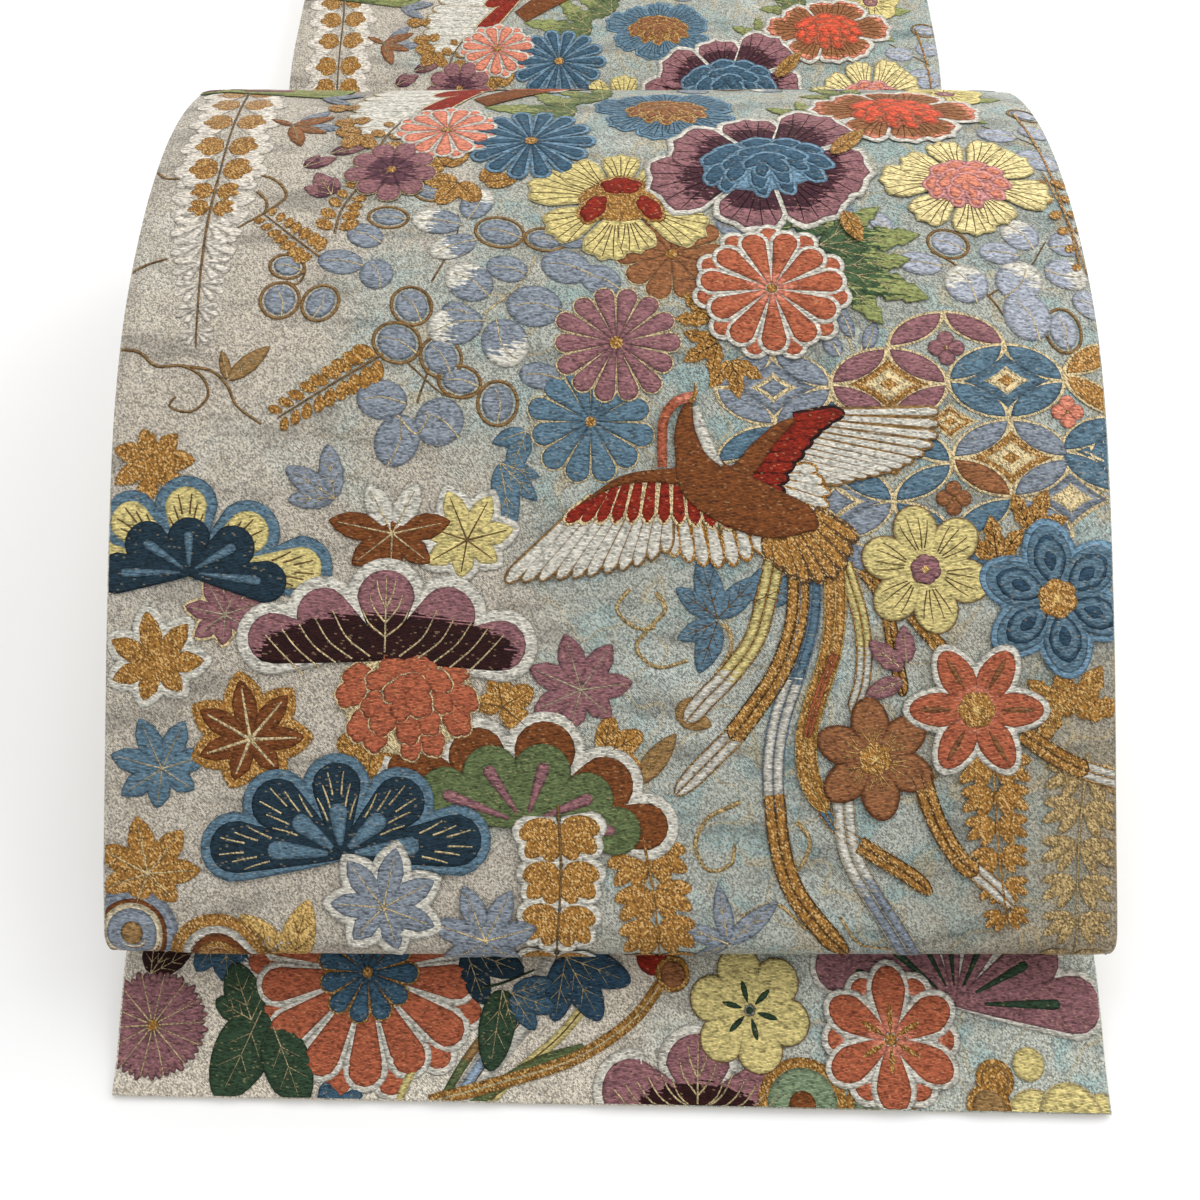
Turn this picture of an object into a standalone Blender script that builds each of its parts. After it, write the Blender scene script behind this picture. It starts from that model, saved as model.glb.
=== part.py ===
"""An obi sash of stiff figured silk, folded in a drum loop and laid on a flat surface.

The sash is one straight double cloth. Seen in section it is a single line that runs from the
tail's edge away under the drum, folds back over itself, folds again into the drum's face, goes
over the rounded top and down the back, returns under the drum, folds once more and runs away
onto the rest of its length, which is folded flat behind the drum.

Sections are worked out in two sizes: `along`, the distance on the floor from the tail's edge,
and `height`, above the floor. Each wall is the cloth's thickness on both sides of its mid-line.
The frame is +X to the right, +Y away from the tail and +Z up, with the origin on the floor under
the middle of the whole.
"""
import math
from typing import NamedTuple

import bmesh
import bpy
import numpy as np

# ---------------------------------------------------------------- driving dimensions, in metres
CLOTH_WIDTH = 0.310
CLOTH_THICKNESS = 0.0020
SEAM_GAP = 0.0003
LAYER_PITCH = CLOTH_THICKNESS + SEAM_GAP
HALF_WIDTH = CLOTH_WIDTH / 2
HALF_THICKNESS = CLOTH_THICKNESS / 2
EDGE_ROLL = 0.0007

OVERALL_LENGTH = 0.6640

# The run that goes away from the drum drifts to the right: metres across for each metre along.
RUN_DRIFT = 0.0107
DRIFT_START = 0.050
WIDEST_DRIFT = RUN_DRIFT * (OVERALL_LENGTH - DRIFT_START)

# Bottom fold of the drum.
BOTTOM_FOLD_ALONG = 0.0481
BOTTOM_FOLD_HEIGHT = 0.0262
BOTTOM_FOLD_RADIUS = 0.0065
FACE_SLOPE_DEG = 28.0

# Turn at the foot of the drum's back.
FOOT_TURN_RADIUS = 0.0090
DRUM_BACK_ALONG = 0.3735

# Folds under the drum and at the far end.
INNER_FOLD_ALONG = 0.2150
INNER_FOLD_RADIUS = 0.0016
RETURN_FOLD_ALONG = 0.0520
RETURN_FOLD_RADIUS = 0.0030
FAR_FOLD_RADIUS = 0.0022

# Rest of the length, folded flat behind the drum.
FOLDED_START = 0.4250
FOLDED_END = 0.6500
FOLDED_CORNER = 0.0025
SIDE_GROOVE = 0.0009

# Unevenness that folding by hand leaves.
FLAP_SKEW = 0.0028
FLAP_SKEW_FADE = 0.060
TOP_CORNER_DROOP = 0.0020
TOP_CORNER_REACH = 0.0130
BOTTOM_CORNER_SHIFT = 0.0016
BOTTOM_CORNER_REACH = 0.1050
BOTTOM_CORNER_FADE = 0.0150

# How finely the walls are cut: one station for each turn of so many degrees or each length.
DEGREES_PER_STATION = 9.0
LENGTH_PER_STATION = 0.0150
DEGREES_PER_ARC_STEP = 22.5
FINE_STEP = 0.0008


class Station(NamedTuple):
    """A place on the sash's mid-line, seen in section."""
    along: float
    height: float


class Finish(NamedTuple):
    """A plain finish: colour, roughness and metallic value."""
    colour: tuple
    roughness: float
    metallic: float


class Layer(NamedTuple):
    """A folded layer: how far its near end, far end and right edge stand out."""
    near_out: float
    far_out: float
    right_out: float


BROCADE = Finish((0.62, 0.56, 0.47, 1.0), 0.45, 0.35)
BROCADE_FOLDED = Finish((0.55, 0.52, 0.46, 1.0), 0.50, 0.30)

# Tail: its edge lies on the floor, and it rises over the return fold, then settles on it.
FLAP_STATIONS = (
    Station(0.0000, 0.00100),
    Station(0.0120, 0.00300),
    Station(0.0280, 0.00760),
    Station(0.0430, 0.01090),
    Station(0.0600, 0.01130),
    Station(0.0850, 0.00930),
    Station(0.1150, 0.00715),
    Station(0.1450, 0.00595),
    Station(0.1800, 0.00580),
)

# Layer above the tail, from the inner fold back towards the drum's bottom fold.
INNER_LAYER_STATIONS = (
    Station(0.1800, 0.00825),
    Station(0.1450, 0.00860),
    Station(0.1150, 0.01035),
    Station(0.0850, 0.01400),
    Station(0.0680, 0.01730),
)

# Drum's face, rounded top and back, from the end of the bottom fold's arc.
DRUM_TOP_STATIONS = (
    Station(0.0815, 0.05110),
    Station(0.1100, 0.06590),
    Station(0.1360, 0.07930),
    Station(0.1600, 0.09110),
    Station(0.1830, 0.10140),
    Station(0.2020, 0.10820),
    Station(0.2200, 0.11280),
    Station(0.2400, 0.11560),
    Station(0.2600, 0.11660),
    Station(0.2780, 0.11610),
    Station(0.2950, 0.11420),
    Station(0.3100, 0.11110),
    Station(0.3240, 0.10680),
    Station(0.3370, 0.10140),
    Station(0.3490, 0.09470),
    Station(0.3590, 0.08600),
    Station(0.3665, 0.07500),
    Station(0.3710, 0.06200),
    Station(0.3730, 0.04600),
)
DRUM_PEAK = 0.1166

# Return under the drum, from the foot turn towards the return fold.
RETURN_STATIONS = (
    Station(0.3300, 0.00340),
    Station(0.1700, 0.00340),
    Station(0.1350, 0.00350),
    Station(0.1050, 0.00440),
    Station(0.0750, 0.00620),
)

# Run away from the drum: flat under it, up the near end of the folded length, along its top.
RUN_STATIONS = (
    Station(0.0700, 0.00100),
    Station(0.2000, 0.00100),
    Station(0.3400, 0.00100),
    Station(0.3950, 0.00100),
    Station(0.4080, 0.00120),
    Station(0.4165, 0.00380),
    Station(0.4255, 0.00980),
    Station(0.4350, 0.01650),
    Station(0.4440, 0.02090),
    Station(0.4560, 0.02360),
    Station(0.4690, 0.02480),
    Station(0.4950, 0.02470),
    Station(0.5400, 0.02430),
    Station(0.6000, 0.02420),
    Station(0.6400, 0.02420),
)

# End of the far fold, where it meets the uppermost folded layer.
FAR_FOLD_STATIONS = (
    Station(0.6520, 0.02170),
    Station(0.6405, 0.02210),
)

# Folded layers, lowest first. Neighbours share a fold at one end or the other.
FOLDED_LAYERS = (
    Layer(0.0000, 0.0040, -0.0004),
    Layer(0.0000, 0.0000, -0.0012),
    Layer(-0.0040, 0.0000, 0.0001),
    Layer(-0.0040, -0.0014, -0.0006),
    Layer(-0.0090, -0.0014, -0.0014),
    Layer(-0.0090, 0.0010, -0.0002),
    Layer(-0.0160, 0.0010, 0.0001),
    Layer(-0.0160, -0.0060, -0.0009),
    Layer(-0.0370, -0.0060, -0.0001),
    Layer(-0.0370, -0.0100, -0.0006),
)

# How a folded layer's edge is rounded: share of its height, and share of the groove's depth.
LAYER_EDGE = ((0.06, 1.00), (0.28, 0.12), (0.72, 0.12), (0.94, 1.00))

# Seams between the stretches.
FLAP_TO_DRUM = INNER_LAYER_STATIONS[-1]
DRUM_TO_RETURN = RETURN_STATIONS[0]
RETURN_TO_RUN = RUN_STATIONS[3]


# ---------------------------------------------------------------- the sash in section
def smooth_line(points):
    """Centripetal Catmull-Rom curve through the points, in steps of about FINE_STEP."""
    given = np.array([(p[0], p[1]) for p in points], float)
    before = 2 * given[0] - given[1]
    after = 2 * given[-1] - given[-2]
    knots = np.vstack([before, given, after])
    runs = []
    for first in range(len(given) - 1):
        p0, p1, p2, p3 = knots[first:first + 4]
        t1 = math.sqrt(np.linalg.norm(p1 - p0))
        t2 = t1 + math.sqrt(np.linalg.norm(p2 - p1))
        t3 = t2 + math.sqrt(np.linalg.norm(p3 - p2))
        count = max(2, int(round(np.linalg.norm(p2 - p1) / FINE_STEP)))
        t = np.linspace(t1, t2, count, endpoint=False)[:, None]
        a1 = (t1 - t) / t1 * p0 + t / t1 * p1
        a2 = (t2 - t) / (t2 - t1) * p1 + (t - t1) / (t2 - t1) * p2
        a3 = (t3 - t) / (t3 - t2) * p2 + (t - t2) / (t3 - t2) * p3
        b1 = (t2 - t) / t2 * a1 + t / t2 * a2
        b2 = (t3 - t) / (t3 - t1) * a2 + (t - t1) / (t3 - t1) * a3
        runs.append((t2 - t) / (t2 - t1) * b1 + (t - t1) / (t2 - t1) * b2)
    runs.append(given[-1:])
    return np.vstack(runs)


def arc(centre_along, centre_height, radius, start_deg, end_deg):
    """Stations on an arc, with angles counted from +along towards +height."""
    steps = int(math.ceil(abs(end_deg - start_deg) / DEGREES_PER_ARC_STEP))
    angles = np.radians(np.linspace(start_deg, end_deg, steps + 1))
    return [Station(centre_along + radius * math.cos(angle),
                    centre_height + radius * math.sin(angle)) for angle in angles]


def sash_line():
    """Mid-line of all that is not folded flat: from the tail's edge to the far fold's end."""
    inner_height = FLAP_STATIONS[-1].height + INNER_FOLD_RADIUS
    face_start = 90.0 + FACE_SLOPE_DEG
    foot_along = DRUM_BACK_ALONG - FOOT_TURN_RADIUS
    foot_height = DRUM_TO_RETURN.height + FOOT_TURN_RADIUS
    return_height = HALF_THICKNESS + RETURN_FOLD_RADIUS
    far_along = OVERALL_LENGTH - HALF_THICKNESS - FAR_FOLD_RADIUS
    far_height = RUN_STATIONS[-1].height - FAR_FOLD_RADIUS
    points = list(FLAP_STATIONS)
    points += arc(INNER_FOLD_ALONG, inner_height, INNER_FOLD_RADIUS, -90.0, 90.0)
    points += INNER_LAYER_STATIONS
    points += arc(BOTTOM_FOLD_ALONG, BOTTOM_FOLD_HEIGHT, BOTTOM_FOLD_RADIUS, 270.0, face_start)
    points += DRUM_TOP_STATIONS
    points += arc(foot_along, foot_height, FOOT_TURN_RADIUS, 0.0, -90.0)
    points += RETURN_STATIONS
    points += arc(RETURN_FOLD_ALONG, return_height, RETURN_FOLD_RADIUS, 90.0, 270.0)
    points += RUN_STATIONS
    points += arc(far_along, far_height, FAR_FOLD_RADIUS, 90.0, -90.0)
    points += FAR_FOLD_STATIONS
    return smooth_line(points)


def lengths_along(line):
    """Length of the line up to each of its points."""
    steps = np.linalg.norm(np.diff(line, axis=0), axis=1)
    return np.concatenate([[0.0], np.cumsum(steps)])


def stretch(line, start, end):
    """The part of the line between two stations, half a seam's gap short at each."""
    length = lengths_along(line)
    first = 0.0
    last = length[-1]
    if start is not None:
        first = length[np.argmin(np.linalg.norm(line - start, axis=1))] + SEAM_GAP / 2
    if end is not None:
        last = length[np.argmin(np.linalg.norm(line - end, axis=1))] - SEAM_GAP / 2
    inside = length[(length > first) & (length < last)]
    wanted = np.concatenate([[first], inside, [last]])
    return np.stack([np.interp(wanted, length, line[:, 0]),
                     np.interp(wanted, length, line[:, 1])], axis=1)


def stations_of(line):
    """Thins a fine line to one point for each DEGREES_PER_STATION or LENGTH_PER_STATION."""
    steps = np.diff(line, axis=0)
    headings = np.unwrap(np.arctan2(steps[:, 1], steps[:, 0]))
    turns = np.abs(np.diff(headings, prepend=headings[0]))
    lengths = np.linalg.norm(steps, axis=1)
    weight = lengths / LENGTH_PER_STATION + turns / math.radians(DEGREES_PER_STATION)
    total = np.concatenate([[0.0], np.cumsum(weight)])
    wanted = np.linspace(0.0, total[-1], int(math.ceil(total[-1])) + 1)
    return np.stack([np.interp(wanted, total, line[:, 0]),
                     np.interp(wanted, total, line[:, 1])], axis=1)


# ---------------------------------------------------------------- unevenness
def drift(along):
    """How far the run has drifted to the right at each place along."""
    return RUN_DRIFT * np.maximum(0.0, along - DRIFT_START)


def skew_flap(across, along, height):
    """Turns the tail's edge a little: further out on the right, less on the left."""
    fade = np.clip(1.0 - along / FLAP_SKEW_FADE, 0.0, 1.0)
    return across, along - FLAP_SKEW * fade * across / HALF_WIDTH, height


def soften_drum(across, along, height):
    """Lets the top corners droop and sets the left end of the bottom fold back."""
    near_top = np.clip((height / DRUM_PEAK - 0.6) / 0.4, 0.0, 1.0)
    corner = np.clip((np.abs(across) - HALF_WIDTH) / TOP_CORNER_REACH + 1.0, 0.0, 1.0)
    low = np.clip(1.0 - (along - BOTTOM_FOLD_ALONG) / BOTTOM_CORNER_FADE, 0.0, 1.0)
    left = np.clip((-across - HALF_WIDTH) / BOTTOM_CORNER_REACH + 1.0, 0.0, 1.0)
    return (across,
            along + BOTTOM_CORNER_SHIFT * low * left ** 2,
            height - TOP_CORNER_DROOP * near_top * corner ** 2)


def drift_lower_layer(across, along, height):
    """The lower of the two layers under the drum drifts, and the upper one stays straight."""
    lower = height < LAYER_PITCH - SEAM_GAP / 2
    return across + drift(along) * lower, along, height


def drift_run(across, along, height):
    """All of the run drifts."""
    return across + drift(along), along, height


# ---------------------------------------------------------------- meshes
def across_places(count, edge_share=0.7):
    """Places across the cloth's flat part, closer together near its edges."""
    even = np.linspace(-1.0, 1.0, count)
    spread = even + edge_share * np.sin(math.pi * even) / math.pi
    return spread * (HALF_WIDTH - EDGE_ROLL)


def place_rows(section, across, uneven):
    """Sweeps a section's points across the cloth, with its unevenness, in the object's frame."""
    rows, columns = len(section), len(across)
    places = np.tile(across, (rows, 1))
    along = np.repeat(section[:, :1], columns, axis=1)
    height = np.repeat(section[:, 1:], columns, axis=1)
    return to_world(*uneven(places, along, height))


def to_world(across, along, height):
    """Puts section places in the object's frame."""
    x = across - WIDEST_DRIFT / 2
    y = along + FLAP_SKEW / 2 - OVERALL_LENGTH / 2
    return np.stack([x, y, height], axis=-1).reshape(-1, 3)


def make_material(name, finish):
    """A plain Principled material."""
    material = bpy.data.materials.new(name)
    material.use_nodes = True
    shader = material.node_tree.nodes["Principled BSDF"]
    shader.inputs["Base Color"].default_value = finish.colour
    shader.inputs["Roughness"].default_value = finish.roughness
    shader.inputs["Metallic"].default_value = finish.metallic
    return material


def make_object(name, verts, faces, finish):
    """A closed, outward-facing object from points and faces."""
    mesh = bpy.data.meshes.new(name)
    mesh.from_pydata(verts.tolist(), [], faces)
    shape = bmesh.new()
    shape.from_mesh(mesh)
    bmesh.ops.recalc_face_normals(shape, faces=shape.faces)
    shape.to_mesh(mesh)
    shape.free()
    mesh.shade_smooth()
    mesh.set_sharp_from_angle(angle=math.radians(40.0))
    mesh.materials.append(make_material(name, finish))
    obj = bpy.data.objects.new(name, mesh)
    bpy.context.scene.collection.objects.link(obj)
    return obj


def grid_quads(rows, columns, start=0):
    """Faces of a grid of rows x columns points, the first point having the given index."""
    row, column = np.meshgrid(np.arange(rows - 1), np.arange(columns - 1), indexing="ij")
    corner = (start + row * columns + column).ravel()
    return np.stack([corner, corner + 1, corner + columns + 1, corner + columns], axis=1)


def make_wall(name, line, columns, uneven, finish):
    """A wall of cloth: the section's line, the cloth's thickness and width, and rolled edges."""
    section = stations_of(line)
    tangent = np.gradient(section, axis=0)
    tangent /= np.linalg.norm(tangent, axis=1, keepdims=True)
    normal = np.stack([-tangent[:, 1], tangent[:, 0]], axis=1)
    rows = len(section)
    skins = []
    for side in (HALF_THICKNESS, -HALF_THICKNESS):
        skins.append(place_rows(section + side * normal, across_places(columns), uneven))
    edges = place_rows(section, np.array([-HALF_WIDTH, HALF_WIDTH]), uneven)
    under = rows * columns
    rolled = 2 * under
    faces = [grid_quads(rows, columns), grid_quads(rows, columns, under)[:, ::-1]]
    row = np.arange(rows - 1)
    for corner, edge in ((0, 0), (columns - 1, 1)):
        for skin in (0, under):
            first = skin + corner + row * columns
            roll = rolled + edge + row * 2
            faces.append(np.stack([first, first + columns, roll + 2, roll], axis=1))
    column = np.arange(columns - 1)
    for first in (column, column + (rows - 1) * columns):
        faces.append(np.stack([first, first + 1, first + 1 + under, first + under], axis=1))
    faces = np.vstack(faces).tolist()
    for last_row in (0, rows - 1):
        for corner, edge in ((0, 0), (columns - 1, 1)):
            first = last_row * columns + corner
            faces.append([first, rolled + last_row * 2 + edge, first + under])
    return make_object(name, np.vstack(skins + [edges]), faces, finish)


def fold_depth(height, shift):
    """How far a fold of two layers stands back at a height, its nose being half round."""
    from_middle = (height + shift) % (2 * LAYER_PITCH) - LAYER_PITCH
    return LAYER_PITCH - math.sqrt(LAYER_PITCH ** 2 - from_middle ** 2)


def folded_ring(height, layer, groove):
    """A ring round the folded length at one height: places across and along."""
    near = FOLDED_START - layer.near_out + fold_depth(height, 0.0)
    far = FOLDED_END + layer.far_out - fold_depth(height, LAYER_PITCH)
    right = HALF_WIDTH + layer.right_out - groove
    left = layer.right_out + groove - HALF_WIDTH
    sides = np.linspace(near + FOLDED_CORNER, far - FOLDED_CORNER, 5)
    ends = np.linspace(right - FOLDED_CORNER, left + FOLDED_CORNER, 6)
    ring = [(right, along) for along in sides]
    ring += [(across, far) for across in ends]
    ring += [(left, along) for along in sides[::-1]]
    ring += [(across, near) for across in ends[::-1]]
    return np.array(ring)


def make_folded_length(name, finish):
    """The rest of the sash: one rounded solid whose edges and ends show its layers."""
    rings = []
    heights = []
    for index, layer in enumerate(FOLDED_LAYERS):
        for share, groove in LAYER_EDGE:
            height = (index + share) * LAYER_PITCH
            rings.append(folded_ring(height, layer, groove * SIDE_GROOVE))
            heights.append(height)
    heights[0] = 0.0
    rings = np.array(rings)
    levels, around = rings.shape[:2]
    across = rings[..., 0] + drift(rings[..., 1])
    verts = to_world(across, rings[..., 1], np.repeat(heights, around).reshape(levels, around))
    faces = []
    for level in range(levels - 1):
        lower = level * around
        for place in range(around):
            following = (place + 1) % around
            faces.append((lower + place, lower + following,
                          lower + around + following, lower + around + place))
    faces.append(tuple(range(around)))
    faces.append(tuple(range((levels - 1) * around, levels * around)))
    return make_object(name, verts, faces, finish)


def clear_scene():
    """Removes whatever the scene holds."""
    for obj in list(bpy.data.objects):
        bpy.data.objects.remove(obj, do_unlink=True)


def main():
    """Builds the sash, one object for each stretch."""
    clear_scene()
    line = sash_line()
    flap = stretch(line, None, FLAP_TO_DRUM)
    drum = stretch(line, FLAP_TO_DRUM, DRUM_TO_RETURN)
    under_fold = stretch(line, DRUM_TO_RETURN, RETURN_TO_RUN)
    away_run = stretch(line, RETURN_TO_RUN, None)
    make_wall("flap", flap, 15, skew_flap, BROCADE)
    make_wall("drum", drum, 23, soften_drum, BROCADE)
    make_wall("under_fold", under_fold, 7, drift_lower_layer, BROCADE)
    make_wall("away_run", away_run, 11, drift_run, BROCADE)
    make_folded_length("folded_length", BROCADE_FOLDED)


main()
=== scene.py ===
"""Looks of a formal obi sash of figured silk, folded in a drum loop and laid flat.

The cloth's stretches are shells swept along one centre line, the same that the solids follow. The
woven figures are thin raised floats of silk and gilt thread laid on that surface by the cloth's own
measures: `across`, from its middle to the right, and `along`, from the tail's edge. The whole
pattern repeats along the cloth, so the run behind the drum shows the drum's figures again.
"""

import logging
import math
from abc import ABC, abstractmethod
from collections.abc import Callable
from dataclasses import dataclass
from enum import Enum

import bmesh
import bpy
import numpy as np
from numpy.typing import NDArray
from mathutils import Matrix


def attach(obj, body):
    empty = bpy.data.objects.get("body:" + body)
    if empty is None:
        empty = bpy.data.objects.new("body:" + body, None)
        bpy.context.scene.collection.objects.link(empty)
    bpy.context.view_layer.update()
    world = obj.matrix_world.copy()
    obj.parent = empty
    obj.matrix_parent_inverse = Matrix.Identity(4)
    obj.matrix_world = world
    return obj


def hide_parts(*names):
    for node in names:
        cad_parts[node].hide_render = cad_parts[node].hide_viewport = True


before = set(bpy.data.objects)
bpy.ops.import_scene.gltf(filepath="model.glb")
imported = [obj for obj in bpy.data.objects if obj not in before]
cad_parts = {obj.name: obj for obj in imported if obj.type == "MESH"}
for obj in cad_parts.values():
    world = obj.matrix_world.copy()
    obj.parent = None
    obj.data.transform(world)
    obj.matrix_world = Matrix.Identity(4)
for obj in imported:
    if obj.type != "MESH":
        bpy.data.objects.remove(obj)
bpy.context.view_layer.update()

Grid = NDArray[np.float64]
MM = 0.001
UV_NAME = "cloth"
BODY = "root"
log = logging.getLogger("obi_sash")


# ---------------- the sash's form
@dataclass(frozen=True)
class SashForm:
    """Sizes of the folded sash in metres, and the stations of its line as (along, height)."""

    width: float = 0.31
    thickness: float = 0.002
    overall_length: float = 0.664
    run_drift: float = 0.0107
    drift_start: float = 0.05
    bottom_fold: tuple = (0.0481, 0.0262, 0.0065)
    face_slope_deg: float = 28.0
    foot_turn_radius: float = 0.009
    drum_back_along: float = 0.3735
    inner_fold: tuple = (0.215, 0.0016)
    return_fold: tuple = (0.052, 0.003)
    far_fold_radius: float = 0.0022
    folded_start: float = 0.425
    folded_end: float = 0.65
    flap_skew: float = 0.0028
    flap_skew_fade: float = 0.06
    corner_droop: float = 0.002
    corner_reach: float = 0.013
    bottom_shift: float = 0.0016
    bottom_reach: float = 0.105
    bottom_fade: float = 0.015
    drum_peak: float = 0.1166
    line_step: float = 0.0008
    flap: tuple = ((0, 0.001), (0.012, 0.003), (0.028, 0.0076), (0.043, 0.0109),
                   (0.06, 0.0113), (0.085, 0.0093), (0.115, 0.00715), (0.145, 0.00595),
                   (0.18, 0.0058))
    inner_layer: tuple = ((0.18, 0.00825), (0.145, 0.0086), (0.115, 0.01035),
                          (0.085, 0.014), (0.068, 0.0173))
    drum_top: tuple = ((0.0815, 0.0511), (0.11, 0.0659), (0.136, 0.0793), (0.16, 0.0911),
                       (0.183, 0.1014), (0.202, 0.1082), (0.22, 0.1128), (0.24, 0.1156),
                       (0.26, 0.1166), (0.278, 0.1161), (0.295, 0.1142), (0.31, 0.1111),
                       (0.324, 0.1068), (0.337, 0.1014), (0.349, 0.0947), (0.359, 0.086),
                       (0.3665, 0.075), (0.371, 0.062), (0.373, 0.046))
    return_layer: tuple = ((0.33, 0.0034), (0.17, 0.0034), (0.135, 0.0035),
                           (0.105, 0.0044), (0.075, 0.0062))
    run: tuple = ((0.07, 0.001), (0.2, 0.001), (0.34, 0.001), (0.395, 0.001),
                  (0.408, 0.0012), (0.4165, 0.0038), (0.4255, 0.0098), (0.435, 0.0165),
                  (0.444, 0.0209), (0.456, 0.0236), (0.469, 0.0248), (0.495, 0.0247),
                  (0.54, 0.0243), (0.6, 0.0242), (0.64, 0.0242))
    far_end: tuple = ((0.652, 0.0217), (0.6405, 0.0221))
    climb: tuple = (0.395, 0.001)


def between(first: Grid, last: Grid, start: float, end: float, t: Grid) -> Grid:
    """Places that go evenly from the first at the start of t to the last at its end."""
    return (end - t) / (end - start) * first + (t - start) / (end - start) * last


def smooth_line(points: Grid, step: float) -> Grid:
    """A centripetal Catmull-Rom curve through points, in steps of about one length.

    Args:
        points: Places to pass through, one a row.
        step: Wanted distance between neighbours.

    Returns:
        The curve's places, one a row.
    """
    given = np.asarray(points, float)
    knots = np.vstack([2 * given[0] - given[1], given, 2 * given[-1] - given[-2]])
    pieces = []
    for p0, p1, p2, p3 in zip(knots, knots[1:], knots[2:], knots[3:]):
        t1, t2, t3 = np.cumsum([math.sqrt(np.linalg.norm(b - a)) + 1e-9
                                for a, b in ((p0, p1), (p1, p2), (p2, p3))])
        count = max(2, int(round(np.linalg.norm(p2 - p1) / step)))
        t = np.linspace(t1, t2, count, endpoint=False)[:, None]
        middle = between(p1, p2, t1, t2, t)
        first = between(between(p0, p1, 0, t1, t), middle, 0, t2, t)
        last = between(middle, between(p2, p3, t2, t3, t), t1, t3, t)
        pieces.append(between(first, last, t1, t2, t))
    return np.vstack(pieces + [given[-1:]])


@dataclass(frozen=True)
class Crease:
    """A soft ridge, or a trough where its height is below zero, between two places, in mm."""

    start: tuple
    end: tuple
    height: float
    breadth: float

    def rise(self, across: Grid, along: Grid) -> Grid:
        """Height in mm: a bell across the crease, fading as a sine towards its ends.

        Args:
            across: Places across the cloth in mm.
            along: Places along the cloth in mm.

        Returns:
            The crease's height at each place.
        """
        du, ds = self.end[0] - self.start[0], self.end[1] - self.start[1]
        length = math.hypot(du, ds)
        t = ((across - self.start[0]) * du + (along - self.start[1]) * ds) / length ** 2
        off = ((across - self.start[0]) * ds - (along - self.start[1]) * du) / length
        fade = np.sin(np.pi * np.clip(t, 0, 1)) ** 0.7
        return self.height * fade * np.exp(-(off / self.breadth) ** 2)


CREASES = tuple(Crease(*row) for row in (
    ((27, 404), (30, 506), -0.55, 7), ((44, 403), (50, 442), 0.45, 5),
    ((-40, 520), (-62, 408), 0.5, 16), ((96, 430), (84, 560), -0.45, 14),
    ((-130, 450), (-118, 600), 0.6, 18), ((-20, 560), (10, 690), -0.6, 20),
    ((70, 600), (92, 720), 0.55, 17), ((-90, 610), (-100, 730), -0.5, 15),
    ((120, 640), (140, 470), 0.4, 12), ((-150, 742), (60, 752), -0.45, 12),
    ((-60, 770), (-70, 860), 0.7, 16), ((40, 760), (66, 850), -0.75, 13),
    ((110, 780), (96, 865), 0.55, 12), ((-120, 790), (-110, 868), -0.55, 10),
    ((-60, 2), (-66, 40), 0.35, 14), ((62, 2), (52, 36), 0.4, 16),
    ((-40, 1575), (-34, 1700), 0.45, 15), ((70, 1600), (84, 1745), 0.35, 12),
    ((-120, 1560), (-112, 1640), 0.4, 11), ((10, 1640), (24, 1750), 0.35, 14),
))


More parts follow.
